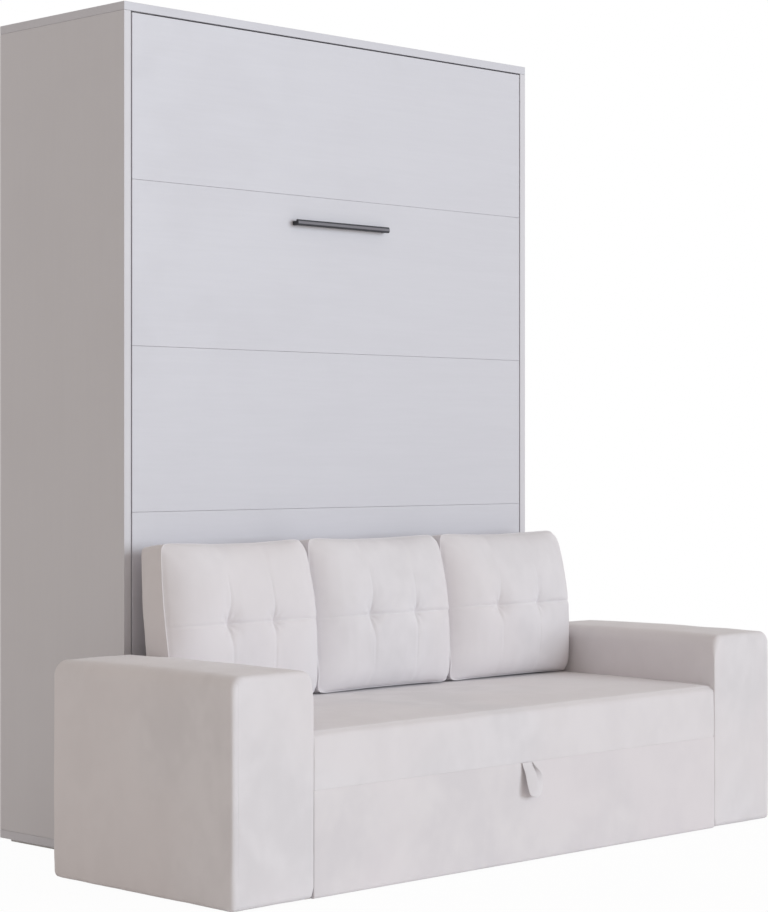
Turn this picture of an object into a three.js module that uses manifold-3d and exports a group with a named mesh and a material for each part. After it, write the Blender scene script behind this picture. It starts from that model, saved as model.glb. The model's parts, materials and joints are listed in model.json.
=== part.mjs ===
// Vertical wall bed behind a three-seat sofa with a storage drawer.
// Millimetres, +X to the right, +Y to the wall, +Z up. Until the last lines, Y is 0 at the cabinet's front
// edges and Z is 0 on the floor. The whole group is then moved so that its origin is the middle of its
// footprint.
import * as THREE from "three";
import { mergeVertices } from "three/addons/utils/BufferGeometryUtils.js";
import Module from "manifold-3d";

const wasm = await Module();
wasm.setup();

// Clearances
const seatGap = 0.3; // between pieces that touch on the real product
const facadeGap = 4; // round the facade, and between its edges and the cabinet
const stripGap = 0.4; // between two strips of the facade

// Cabinet
const cabinetWidth = 1520;
const cabinetDepth = 530;
const cabinetHeight = 2180; // without the glides
const boardThickness = 22;
const glideHeight = 10;
const glideWidth = 60;
const glideInset = 20;
const backThickness = 16;
const backInset = 8;
const backSplitHeight = 1040;
const backTopGap = 108; // the back stays open under the top board, for the wall brackets
const bracketWidth = 100;
const bracketFlange = 60;
const bracketSteel = 4;
const bracketFromSide = 80;
const stopRailHeight = 38;
const stopRailDepth = 18;
const stopRailEndGap = 130;

// Bed, for a mattress of 1400 by 2000
const bedSideLane = 38; // from the mattress to the cabinet's side, for the hinges, gas springs and foot leg
const mattressHeadroom = 56; // over the mattress's upper end, for the foot rail
const mattressThickness = 180;
const mattressRadius = 24;
const facadeThickness = 18;
const facadeStrips = 5;
const facadeFloorGap = 14; // facade over the bottom board
const railWidth = 30;
const railDepth = 40;
const railWall = 2;
const railOverMattress = 2; // each side rail stands this far past the mattress
const headLedgeDepth = 140;
const headLedgeThickness = 20;
const mattressFoot = 80; // mattress's lower end over the bottom board
const mattressTopGap = 7.5; // mattress's upper end to the foot rail
const slatCount = 14;
const slatWidth = 62;
const slatThickness = 8;
const slatEndGap = 10;
const slatFirst = 28;
const webbingOffset = 350;
const webbingWidth = 30;
const webbingThickness = 4;
const centreBeamWidth = 30;
const strapHeight = 40;
const strapThickness = 2.5;
const strapLevel = 1450;

// Bed hinge
const pivotHeight = 480;
const pivotDepth = 60;
const pivotPinRadius = 10;
const pinClearance = 0.6;
const plateSteel = 6;
const plateRound = 34; // round the hinge pin
const plateAnchorRound = 30; // round the gas spring's upper stud
const armRound = 28; // round the hinge bore
const armEndRound = 17;
const armReach = 160; // arm over the hinge

// Gas springs
const gasAnchorDepth = 300;
const gasAnchorHeight = 800;
const gasRadius = 8.5;
const gasRodRadius = 4;
const gasStudRadius = 5;
const gasArm = 120; // bed stud under the hinge
const gasEyeRadius = 9;
const gasEyeWidth = 14;
const gasBodyLength = 290;
const gasBoreDepth = 195;
const gasRodInside = 20;

// Foot leg
const legPivotDepth = 90;
const legPivotDrop = 34; // leg pivot under the top board
const legPinRadius = 6;
const legArmThickness = 12;
const legArmWidth = 30;
const legCrank = 52;
const legFloorGap = 1;
const legBarSize = 25;
const legBracketSteel = 4;
const legBracketRound = 14;
const legBracketEnd = 10;
const legFoldDegrees = 241.5;

// Handle
const handleLength = 348;
const handleHeight = 16;
const handleDepth = 9;
const handleStandoff = 14;
const handlePostWidth = 12;
const handlePostHeight = 11;
const handleOffset = -6; // the handle sits this far left of the middle
const handleDrop = 524; // handle under the cabinet's top

// Sofa
const sofaFront = 703; // front faces before the cabinet's front edges
const armrestWidth = 253;
const armrestBack = 36;
const armrestTop = 538;
const armrestCrown = 7;
const armrestFloorGap = 6;
const armrestRadius = 32;
const armrestFrontRadius = 13;
const armrestFoot = 10; // rounding under the armrest
const armrestFootInset = 40;
const frontSideGap = 1.2; // seat and drawer front to each armrest
const seatTop = 406;
const seatCrown = 2.5;
const seatRadius = 36; // of the front's upper edge
const seatEndRadius = 16;
const seatHem = 3; // rounding over the drawer front
const seatBackGap = 10;
const seamHeight = 257;
const seamGap = 2.6;
const baseSideThickness = 22.4;
const seatBoardThickness = 18;
const sofaBackThickness = 18;
const sofaBackGap = 14;
const sofaBackFloorGap = 12;

// Drawer
const drawerFloorGap = 5;
const drawerFrontThickness = 30;
const drawerFrontRadius = 7;
const drawerLength = 592;
const drawerSideThickness = 16;
const drawerSideTop = 200;
const drawerBottomThickness = 6;
const drawerBottomLevel = 24;
const drawerSideGap = 17; // drawer side to base side
const runnerThickness = 12;
const runnerLedge = 25;
const runnerBottom = 12;
const runnerLedgeThickness = 5.7;
const runnerHeight = 48;
const runnerBackGap = 2; // runner to the sofa's back board

// Pull strap
const pullWidth = 74;
const pullThickness = 1.6;
const pullLength = 86;
const pullReach = 30;
const pullGap = 1.8; // strap to the drawer front
const pullTab = 18;

// Back cushions
const cushionCount = 3;
const cushionGap = 5; // between two back cushions
const cushionRowSpare = 11; // the row of cushions and its gaps leave this much between the armrests
const cushionHeight = 402;
const cushionSeam = 68; // from the front seam to the rear seam
const cushionFrontCrown = 66;
const cushionBackCrown = 56;
const cushionLean = 7;
const cushionCentreDepth = 108;
const cushionPuff = 2;
const outerCushionDrop = 0.4; // the seat's crown is lower under the outer cushions
const cushionCorner = 14; // power of the outline's rounding
const tuftOffset = 83;
const tuftLevel = -14;
const tuftDepth = 13;
const tuftRadius = 22;
const channelDepth = 5;

// Finishes
const finish = (color, roughness, metalness = 0) =>
  new THREE.MeshStandardMaterial({ color, roughness, metalness });
const laminate = finish(0xd4d3d8, 0.55);
const facadeLaminate = finish(0xd1d0d6, 0.5);
const backBoard = finish(0xc9c4bd, 0.8);
const steelGrey = finish(0x8d9096, 0.45, 0.6);
const handleMetal = finish(0x3b3c42, 0.4, 0.7);
const plyBoard = finish(0xd9c09a, 0.7);
const upholstery = finish(0xdad7da, 0.95);
const ticking = finish(0xf0eeea, 0.95);
const webbing = finish(0x6d6f75, 0.9);
const plastic = finish(0x4a4b4f, 0.6);
const gasBlack = finish(0x232326, 0.35, 0.4);
const chrome = finish(0xd8dadd, 0.15, 1);

// Widths, heights and depths that follow from the sizes above
const sideInner = cabinetWidth / 2 - boardThickness;
const mattressWidth = 2 * (sideInner - bedSideLane);
const mattressLength = cabinetHeight - 2 * boardThickness - mattressFoot - mattressHeadroom;
const bottomTop = glideHeight + boardThickness;
const topUnder = glideHeight + cabinetHeight - boardThickness;
const backFront = cabinetDepth - backInset - backThickness;
const facadeHalf = sideInner - facadeGap;
const facadeBottom = bottomTop + facadeFloorGap;
const facadeTop = topUnder - facadeGap;
const railOuter = mattressWidth / 2 + railOverMattress;
const railInner = railOuter - railWidth;
const railFront = facadeThickness + seatGap;
const railBack = railFront + railDepth;
const mattressBottom = bottomTop + mattressFoot;
const mattressTop = mattressBottom + mattressLength;
const slatFront = railBack + seatGap;
const mattressFront = slatFront + slatThickness + seatGap;
const mattressBack = mattressFront + mattressThickness;
const footRailBottom = mattressTop + mattressTopGap;
const footRailTop = footRailBottom + railWidth;
const bedPlateInner = railOuter + seatGap;
const bedPlateOuter = bedPlateInner + plateSteel;
const cabinetPlateOuter = sideInner - seatGap;
const cabinetPlateInner = cabinetPlateOuter - plateSteel;
const gasLane = (bedPlateOuter + cabinetPlateInner) / 2 + 1;
const legPivotHeight = topUnder - legPivotDrop;
const legArmInner = bedPlateInner + legBracketSteel + 4 * seatGap;
const handleLevel = glideHeight + cabinetHeight - handleDrop;
const innerWidth = cabinetWidth; // the armrests stand in line with the cabinet's sides
const frontWidth = innerWidth - 2 * frontSideGap;
const cushionPitch = (innerWidth - cushionRowSpare) / cushionCount;
const cushionWidth = cushionPitch - cushionGap;
const seatBottom = seamHeight + seamGap - 1;
const baseSideOuter = innerWidth / 2 - seatGap;
const baseSideInner = baseSideOuter - baseSideThickness;
const baseSideTop = seatBottom - 2 * seatGap - seatBoardThickness;
const drawerBack = -(sofaFront - drawerFrontThickness - seatGap - drawerLength);
const drawerSideOuter = baseSideInner - drawerSideGap;
const drawerSideInner = drawerSideOuter - drawerSideThickness;
const drawerSideBottom = runnerBottom + runnerLedgeThickness + seatGap;
const drawerFrontBack = -(sofaFront - drawerFrontThickness);

const sides = [
  ["left", -1],
  ["right", 1],
];
const radians = THREE.MathUtils.degToRad;
const evenly = (radius) => [radius, radius];

// Turns a closed mesh into a solid for joining and cutting.
function solidOf(geometry) {
  const bare = geometry.clone();
  bare.deleteAttribute("normal");
  bare.deleteAttribute("uv");
  const merged = mergeVertices(bare, 1e-4);
  const mesh = new wasm.Mesh({
    numProp: 3,
    vertProperties: Float32Array.from(merged.getAttribute("position").array),
    triVerts: Uint32Array.from(merged.index.array),
  });
  return new wasm.Manifold(mesh);
}

function geometryOf(solid) {
  const mesh = solid.getMesh();
  const geometry = new THREE.BufferGeometry();
  geometry.setAttribute("position", new THREE.BufferAttribute(mesh.vertProperties, 3));
  geometry.setIndex(new THREE.BufferAttribute(mesh.triVerts, 1));
  geometry.computeVertexNormals();
  return geometry;
}

const joined = (...geometries) => geometryOf(geometries.map(solidOf).reduce((a, b) => a.add(b)));
const cut = (whole, ...tools) =>
  geometryOf(tools.map(solidOf).reduce((a, b) => a.subtract(b), solidOf(whole)));

function add(group, name, geometry, material) {
  const mesh = new THREE.Mesh(geometry, material);
  mesh.name = name;
  group.add(mesh);
  return mesh;
}

// A box between two limits on each axis.
function slab([x0, x1], [y0, y1], [z0, z1]) {
  const box = new THREE.BoxGeometry(Math.abs(x1 - x0), y1 - y0, z1 - z0);
  return box.translate((x0 + x1) / 2, (y0 + y1) / 2, (z0 + z1) / 2);
}

function block(group, name, xs, ys, zs, material) {
  const box = new THREE.BoxGeometry(Math.abs(xs[1] - xs[0]), ys[1] - ys[0], zs[1] - zs[0]);
  const mesh = add(group, name, box, material);
  mesh.position.set((xs[0] + xs[1]) / 2, (ys[0] + ys[1]) / 2, (zs[0] + zs[1]) / 2);
  return mesh;
}

const across = (half) => [-half, half];
const beside = (side, inner, outer) => (side > 0 ? [inner, outer] : [-outer, -inner]);

// Extrudes an outline drawn in Y and Z along X.
function alongX(shape, [x0, x1], curveSegments = 12) {
  const geometry = new THREE.ExtrudeGeometry(shape, { depth: x1 - x0, bevelEnabled: false, curveSegments });
  const turn = new THREE.Matrix4().makeBasis(
    new THREE.Vector3(0, 1, 0),
    new THREE.Vector3(0, 0, 1),
    new THREE.Vector3(1, 0, 0),
  );
  return geometry.applyMatrix4(turn).translate(x0, 0, 0);
}

// Extrudes an outline drawn in X and Z along Y.
function alongY(shape, [y0, y1], curveSegments = 12) {
  const geometry = new THREE.ExtrudeGeometry(shape, { depth: y1 - y0, bevelEnabled: false, curveSegments });
  return geometry.rotateX(Math.PI / 2).translate(0, y1, 0);
}

const outline = (points) => new THREE.Shape(points.map(([a, b]) => new THREE.Vector2(a, b)));

function roundHole(shape, [a, b], radius) {
  const hole = new THREE.Path();
  hole.absarc(a, b, radius, 0, 2 * Math.PI, true);
  shape.holes.push(hole);
  return shape;
}

// A round pin along X.
function pinX([x0, x1], [y, z], radius, segments = 24) {
  const pin = new THREE.CylinderGeometry(radius, radius, x1 - x0, segments);
  return pin.rotateZ(Math.PI / 2).translate((x0 + x1) / 2, y, z);
}

// The outline that a tight band round some discs would have.
function bandRound(discs, steps = 12) {
  const points = discs.flatMap(([a, b, radius]) =>
    Array.from({ length: steps }, (_, i) => {
      const angle = (2 * Math.PI * i) / steps;
      return [a + radius * Math.cos(angle), b + radius * Math.sin(angle)];
    }),
  );
  points.sort((p, q) => p[0] - q[0] || p[1] - q[1]);
  const turn = (o, p, q) => (p[0] - o[0]) * (q[1] - o[1]) - (p[1] - o[1]) * (q[0] - o[0]);
  const half = (list) => {
    const kept = [];
    for (const p of list) {
      while (kept.length > 1 && turn(kept[kept.length - 2], kept[kept.length - 1], p) <= 1e-6) kept.pop();
      kept.push(p);
    }
    return kept.slice(0, -1);
  };
  return outline([...half(points), ...half([...points].reverse())]);
}

// A rectangular steel tube, open at both ends.
function hollow(width, height, wall) {
  const shape = outline([
    [0, 0],
    [width, 0],
    [width, height],
    [0, height],
  ]);
  const bore = [
    [wall, wall],
    [wall, height - wall],
    [width - wall, height - wall],
    [width - wall, wall],
  ];
  shape.holes.push(new THREE.Path(bore.map(([a, b]) => new THREE.Vector2(a, b))));
  return shape;
}

function uprightTube(x0, y0, [z0, z1], width, depth) {
  const section = hollow(width, depth, railWall);
  const tube = new THREE.ExtrudeGeometry(section, { depth: z1 - z0, bevelEnabled: false });
  return tube.translate(x0, y0, z0);
}

// A closed box surface with grid lines at the given places, each corner of the grid moved by a function.
function gridForm(stationsX, stationsY, stationsZ, place) {
  const counts = [stationsX, stationsY, stationsZ].map((s) => s.length - 1);
  const cube = new THREE.BoxGeometry(2, 2, 2, ...counts);
  cube.deleteAttribute("normal");
  cube.deleteAttribute("uv");
  const geometry = mergeVertices(cube, 1e-5);
  const position = geometry.getAttribute("position");
  const pick = (stations, value) => stations[Math.round(((value + 1) / 2) * (stations.length - 1))];
  for (let i = 0; i < position.count; i += 1) {
    const u = pick(stationsX, position.getX(i));
    const v = pick(stationsY, position.getY(i));
    const w = pick(stationsZ, position.getZ(i));
    position.setXYZ(i, ...place(u, v, w));
  }
  geometry.computeVertexNormals();
  return geometry;
}

// Grid lines across a padded block: close together round its edges, even between them.
function paddedStations(half, [low, high], middle) {
  const flat = 2 * half - low - high;
  const inner = Array.from({ length: middle - 1 }, (_, i) => low - half + (flat * (i + 1)) / middle);
  const lowEdge = [-half, 0.586 * low - half, low - half];
  return [...lowEdge, ...inner, half - high, half - 0.586 * high, half];
}

// A padded block with round edges and a crowned top. The roundings say how far each pair of faces curves in.
function paddedBlock(xs, ys, zs, roundings, crown, middles) {
  const spans = [xs, ys, zs];
  const halves = spans.map(([a, b]) => (b - a) / 2);
  const centres = spans.map(([a, b]) => (a + b) / 2);
  const stations = halves.map((half, i) => paddedStations(half, roundings[i], middles[i]));
  const place = (...corner) => {
    const radii = corner.map((c, i) => roundings[i][c < 0 ? 0 : 1]);
    const inner = corner.map((c, i) => {
      const [low, high] = roundings[i];
      return THREE.MathUtils.clamp(c, low - halves[i], halves[i] - high);
    });
    const out = new THREE.Vector3(...corner.map((c, i) => (c - inner[i]) / radii[i])).normalize().toArray();
    const share = corner.map((c, i) => 1 - (c / halves[i]) ** 2);
    const rise = crown * share[0] * share[1] * THREE.MathUtils.smoothstep(corner[2] / halves[2], -1, 1);
    const moved = inner.map((c, i) => centres[i] + c + out[i] * radii[i]);
    return [moved[0], moved[1], moved[2] + rise];
  };
  return gridForm(...stations, place);
}

// Cabinet carcass
function makeCabinet() {
  const group = new THREE.Group();
  const depth = [0, cabinetDepth];
  for (const [word, side] of sides) {
    const boardSpan = beside(side, sideInner, sideInner + boardThickness);
    block(group, `cabinet_side_${word}`, boardSpan, depth, [bottomTop + seatGap, topUnder - seatGap], laminate);
    const glideSpan = beside(side, sideInner - glideWidth, sideInner);
    const glideDepth = [glideInset, cabinetDepth - glideInset];
    block(group, `cabinet_glide_${word}`, glideSpan, glideDepth, [0, glideHeight - seatGap], plastic);
  }
  block(group, "cabinet_bottom", across(cabinetWidth / 2), depth, [glideHeight, bottomTop], laminate);
  block(group, "cabinet_top", across(cabinetWidth / 2), depth, [topUnder, topUnder + boardThickness], laminate);
  const backSpan = across(sideInner - seatGap);
  const backDepth = [backFront, backFront + backThickness];
  const lower = [bottomTop + seatGap, backSplitHeight];
  const upper = [backSplitHeight + 2 * seatGap, topUnder - backTopGap];
  block(group, "cabinet_back_lower", backSpan, backDepth, lower, backBoard);
  block(group, "cabinet_back_upper", backSpan, backDepth, upper, backBoard);
  const stopSpan = across(sideInner - stopRailEndGap);
  const stopDepth = [railBack + seatGap, railBack + seatGap + stopRailDepth];
  const stopHeight = [topUnder - seatGap - stopRailHeight, topUnder - seatGap];
  block(group, "stop_rail", stopSpan, stopDepth, stopHeight, laminate);
  return group;
}

// Steel angles that hold the cabinet to the wall
function makeWallBrackets() {
  const group = new THREE.Group();
  const top = topUnder - seatGap;
  const wall = cabinetDepth;
  const angle = outline([
    [wall, top],
    [wall - bracketFlange, top],
    [wall - bracketFlange, top - bracketSteel],
    [wall - bracketSteel, top - bracketSteel],
    [wall - bracketSteel, top - bracketFlange],
    [wall, top - bracketFlange],
  ]);
  for (const [word, side] of sides) {
    const outer = sideInner - bracketFromSide;
    add(group, `wall_bracket_${word}`, alongX(angle, beside(side, outer - bracketWidth, outer)), steelGrey);
  }
  return group;
}

// Plates on the cabinet's sides, with the bed's hinge pin and the gas spring's upper stud
function makePivotPlates() {
  const group = new THREE.Group();
  const pivot = [pivotDepth, pivotHeight];
  const anchor = [gasAnchorDepth, gasAnchorHeight];
  const plateShape = bandRound([
    [...pivot, plateRound],
    [...anchor, plateAnchorRound],
    [pivotDepth, gasAnchorHeight, plateRound],
  ]);
  for (const [word, side] of sides) {
    const plate = alongX(plateShape, beside(side, cabinetPlateInner, cabinetPlateOuter));
    const pin = pinX(beside(side, bedPlateInner + seatGap, cabinetPlateOuter - 1), pivot, pivotPinRadius);
    const studReach = gasLane - gasEyeWidth / 2 + 2;
    const stud = pinX(beside(side, studReach, cabinetPlateOuter - 1), anchor, gasStudRadius, 16);
    add(group, `pivot_plate_${word}`, joined(plate, pin, stud), steelGrey);
  }
  return group;
}

// Facade strips, lying on the bed frame
function makeFacade() {
  const group = new THREE.Group();
  const pitch = (facadeTop - facadeBottom + stripGap) / facadeStrips;
  for (let i = 0; i < facadeStrips; i += 1) {
    const bottom = facadeBottom + i * pitch;
    const heights = [bottom, bottom + pitch - stripGap];
    const name = `facade_panel_${facadeStrips - i}`;
    block(group, name, across(facadeHalf), [0, facadeThickness], heights, facadeLaminate);
  }
  return group;
}

// Bar handle on two posts
function makeHandle() {
  const group = new THREE.Group();
  const barBack = -(handleStandoff + 2 * seatGap);
  const barFront = barBack - handleDepth;
  const half = handleHeight / 2;
  const chamfer = handleDepth / 3;
  const section = outline([
    [barBack, handleLevel - half],
    [barBack, handleLevel + half],
    [barFront + chamfer, handleLevel + half],
    [barFront, handleLevel + half - chamfer],
    [barFront, handleLevel - half + chamfer],
    [barFront + chamfer, handleLevel - half],
  ]);
  const ends = [handleOffset - handleLength / 2, handleOffset + handleLength / 2];
  add(group, "handle_bar", alongX(section, ends), handleMetal);
  const postBottom = handleLevel - half + 1;
  for (const [word, side] of sides) {
    const span = side < 0 ? [ends[0], ends[0] + handlePostWidth] : [ends[1] - handlePostWidth, ends[1]];
    const depth = [-(handleStandoff + seatGap), -seatGap];
    block(group, `handle_post_${word}`, span, depth, [postBottom, postBottom + handlePostHeight], handleMetal);
  }
  return group;
}

// Steel frame that carries the slats and the facade
function makeBedFrame() {
  const group = new THREE.Group();
  const headBottom = mattressBottom - seatGap - headLedgeThickness;
  for (const [word, side] of sides) {
    const left = side > 0 ? railInner : -railOuter;
    const rail = uprightTube(left, railFront, [headBottom, footRailTop], railWidth, railDepth);
    add(group, `bed_rail_${word}`, rail, steelGrey);
  }
  const between = across(railInner - seatGap);
  const ledge = [headBottom, headBottom + headLedgeThickness];
  block(group, "bed_rail_head", between, [railFront, railFront + headLedgeDepth], ledge, steelGrey);
  const footTube = alongX(hollow(railDepth, railWidth, railWall), between);
  add(group, "bed_rail_foot", footTube.translate(0, railFront, footRailBottom), steelGrey);
  const beamHeights = [mattressBottom, footRailBottom - seatGap];
  const beam = uprightTube(-centreBeamWidth / 2, railFront, beamHeights, centreBeamWidth, railDepth);
  add(group, "bed_centre_beam", beam, steelGrey);
  return group;
}

// Beech slats held at their spacing by two webbing bands
function makeSlats() {
  const depth = [slatFront, slatFront + slatThickness];
  const first = mattressBottom + slatFirst;
  const pitch = (mattressLength - 2 * slatFirst - slatWidth) / (slatCount - 1);
  const bandDepth = [slatFront + 1, slatFront + 1 + webbingThickness];
  const bandHeights = [first + slatWidth / 2, first + (slatCount - 1) * pitch + slatWidth / 2];
  const parts = [-1, 1].map((side) => {
    const middle = side * webbingOffset;
    return slab([middle - webbingWidth / 2, middle + webbingWidth / 2], bandDepth, bandHeights);
  });
  for (let i = 0; i < slatCount; i += 1) {
    const bottom = first + i * pitch;
    parts.push(slab(across(railOuter - slatEndGap), depth, [bottom, bottom + slatWidth]));
  }
  return joined(...parts);
}

// Elastic belt round the mattress, fixed to the rails behind it
function makeMattressStrap() {
  const inner = mattressWidth / 2 + 0.5;
  const outer = inner + strapThickness;
  const near = railBack + 4 * seatGap;
  const far = mattressBack + 0.5;
  const belt = outline([
    [-outer, near],
    [-inner, near],
    [-inner, far],
    [inner, far],
    [inner, near],
    [outer, near],
    [outer, far + strapThickness],
    [-outer, far + strapThickness],
  ]);
  const band = new THREE.ExtrudeGeometry(belt, { depth: strapHeight, bevelEnabled: false });
  return band.translate(0, 0, strapLevel);
}

// Plates on the bed's rails: the hinge bore and the gas spring's lower stud
function makePivotArms() {
  const group = new THREE.Group();
  const pivot = [pivotDepth, pivotHeight];
  const stud = [pivotDepth, pivotHeight - gasArm];
  const shape = bandRound([
    [...pivot, armRound],
    [...stud, armEndRound],
    [railFront + railDepth / 2, pivotHeight + armReach, armEndRound],
  ]);
  roundHole(shape, pivot, pivotPinRadius + pinClearance);
  for (const [word, side] of sides) {
    const plate = alongX(shape, beside(side, bedPlateInner, bedPlateOuter), 32);
    const studSpan = beside(side, bedPlateInner + 1, gasLane - gasEyeWidth / 2 - 0.6);
    add(group, `pivot_arm_${word}`, joined(plate, pinX(studSpan, stud, gasStudRadius, 16)), steelGrey);
  }
  return group;
}

// Plates at the rails' upper ends, with the foot leg's pins
function makeLegBrackets() {
  const group = new THREE.Group();
  const pivot = [legPivotDepth, legPivotHeight];
  const shape = bandRound([
    [railFront + legBracketRound, legPivotHeight - 2 * legBracketRound, legBracketEnd],
    [railFront + legBracketRound, legPivotHeight + legBracketEnd / 2, legBracketEnd],
    [...pivot, legBracketRound],
  ]);
  for (const [word, side] of sides) {
    const plate = alongX(shape, beside(side, bedPlateInner, bedPlateInner + legBracketSteel));
    const armOuter = legArmInner + legArmThickness;
    const pin = pinX(beside(side, bedPlateInner + 1, armOuter + 2 * seatGap), pivot, legPinRadius, 16);
    add(group, `leg_bracket_${word}`, joined(plate, pin), steelGrey);
  }
  return group;
}

function makeBed() {
  const group = new THREE.Group();
  group.add(makeFacade(), makeHandle(), makeBedFrame(), makePivotArms(), makeLegBrackets());
  add(group, "slat_base", makeSlats(), plyBoard);
  const mattress = paddedBlock(
    across(mattressWidth / 2),
    [mattressFront, mattressBack],
    [mattressBottom, mattressTop],
    [evenly(mattressRadius), evenly(mattressRadius), evenly(mattressRadius)],
    0,
    [3, 1, 3],
  );
  add(group, "mattress", mattress, ticking);
  add(group, "mattress_strap", makeMattressStrap(), webbing);
  return group;
}

// Foot leg, drawn as it stands and folded back about its pins: two cranked arms and a floor bar
function makeFootLeg() {
  const group = new THREE.Group();
  const reach = pivotHeight - pivotDepth + legPivotDepth - legFloorGap; // from the pins to the floor
  const half = legArmWidth / 2;
  const arm = outline([
    [-half, -half],
    [half, -half],
    [half, legCrank + half],
    [-reach, legCrank + half],
    [-reach, legCrank - half],
    [-half, legCrank - half],
  ]);
  roundHole(arm, [0, 0], legPinRadius + pinClearance);
  for (const [word, side] of sides) {
    const plate = alongX(arm, beside(side, legArmInner, legArmInner + legArmThickness), 24);
    add(group, `foot_leg_${word}`, plate, steelGrey);
  }
  const barDepth = [-reach, -reach + legBarSize];
  const barHeights = [legCrank - legBarSize / 2, legCrank + legBarSize / 2];
  block(group, "foot_leg_crossbar", across(legArmInner - seatGap), barDepth, barHeights, steelGrey);
  group.position.set(0, legPivotDepth, legPivotHeight);
  group.rotation.x = -radians(legFoldDegrees);
  return group;
}

// A gas spring from its stud on the cabinet to its stud on the bed
function makeGasSpring(word, side) {
  const group = new THREE.Group();
  const run = new THREE.Vector2(pivotDepth - gasAnchorDepth, pivotHeight - gasArm - gasAnchorHeight);
  const length = run.length();
  const eyeSpan = across(gasEyeWidth / 2);
  const bore = gasStudRadius + pinClearance;
  const profile = [
    [0, gasEyeRadius / 2],
    [gasRadius, gasEyeRadius / 2],
    [gasRadius, gasBodyLength],
    [gasRodRadius + pinClearance, gasBodyLength],
    [gasRodRadius + pinClearance, gasBodyLength - gasBoreDepth],
    [0, gasBodyLength - gasBoreDepth],
  ].map(([r, h]) => new THREE.Vector2(r, h));
  const body = new THREE.LatheGeometry(profile, 16).rotateX(Math.PI / 2);
  const hole = pinX(across(gasEyeWidth), [0, 0], bore, 16);
  const upperEye = pinX(eyeSpan, [0, 0], gasEyeRadius, 16);
  add(group, `gas_cylinder_${word}`, cut(joined(body, upperEye), hole), gasBlack);
  const rodStart = gasBodyLength - gasRodInside;
  const rod = new THREE.CylinderGeometry(gasRodRadius, gasRodRadius, length - rodStart - 4, 12);
  rod.rotateX(Math.PI / 2).translate(0, 0, (rodStart + length - 4) / 2);
  const lowerEye = pinX(eyeSpan, [0, length], gasEyeRadius, 16);
  const lowerHole = pinX(across(gasEyeWidth), [0, length], bore, 16);
  add(group, `gas_rod_${word}`, cut(joined(rod, lowerEye), lowerHole), chrome);
  group.position.set(side * gasLane, gasAnchorDepth, gasAnchorHeight);
  group.rotation.x = Math.atan2(-run.x, run.y);
  return group;
}

// Armrests with the board that each stands on
function makeArmrests() {
  const group = new THREE.Group();
  const inner = innerWidth / 2;
  const depth = [-sofaFront, -armrestBack];
  for (const [word, side] of sides) {
    const span = beside(side, inner, inner + armrestWidth);
    const heights = [armrestFloorGap, armrestTop];
    const endRoundings = [armrestFrontRadius, armrestRadius];
    const roundings = [evenly(armrestRadius), endRoundings, [armrestFoot, armrestRadius]];
    const form = paddedBlock(span, depth, heights, roundings, armrestCrown, [2, 4, 3]);
    add(group, `armrest_${word}`, form, upholstery);
    const footSpan = beside(side, inner + armrestFootInset, inner + armrestWidth - armrestFootInset);
    const footDepth = [armrestFootInset - sofaFront, -armrestBack - armrestFootInset];
    block(group, `armrest_foot_${word}`, footSpan, footDepth, [0, armrestFloorGap - seatGap], plastic);
  }
  return group;
}

// Seat block on its board, the base under it and the drawer's runners
function makeSofaBase() {
  const group = new THREE.Group();
  const front = drawerFrontBack + 3;
  for (const [word, side] of sides) {
    const span = beside(side, baseSideInner, baseSideOuter);
    block(group, `base_side_${word}`, span, [front, -seatGap], [0, baseSideTop], plyBoard);
    const runnerBack = -sofaBackGap - sofaBackThickness - runnerBackGap;
    add(group, `drawer_runner_${word}`, makeRunner(side, [front, runnerBack]), steelGrey);
  }
  const backDepth = [-sofaBackGap - sofaBackThickness, -sofaBackGap];
  const backHeights = [sofaBackFloorGap, baseSideTop];
  block(group, "sofa_back_board", across(baseSideInner - seatGap), backDepth, backHeights, plyBoard);
  const boardHeights = [baseSideTop + seatGap, baseSideTop + seatGap + seatBoardThickness];
  block(group, "seat_board", across(frontWidth / 2), [front, -sofaBackGap], boardHeights, plyBoard);
  const seat = paddedBlock(
    across(frontWidth / 2),
    [-sofaFront, -seatBackGap],
    [seatBottom, seatTop],
    [evenly(seatEndRadius), [seatRadius, seatEndRadius], [seatHem, seatRadius]],
    seatCrown,
    [6, 4, 2],
  );
  add(group, "seat_cushion", seat, upholstery);
  return group;
}

function makeRunner(side, depth) {
  const outer = baseSideInner - seatGap;
  const wall = outer - runnerThickness;
  const lip = wall - runnerLedge;
  const ledgeTop = runnerBottom + runnerLedgeThickness;
  const profile = [
    [outer, runnerBottom],
    [outer, runnerBottom + runnerHeight],
    [wall, runnerBottom + runnerHeight],
    [wall, ledgeTop],
    [lip, ledgeTop],
    [lip, runnerBottom],
  ];
  return alongY(outline(profile.map(([x, z]) => [side * x, z])), depth);
}

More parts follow.
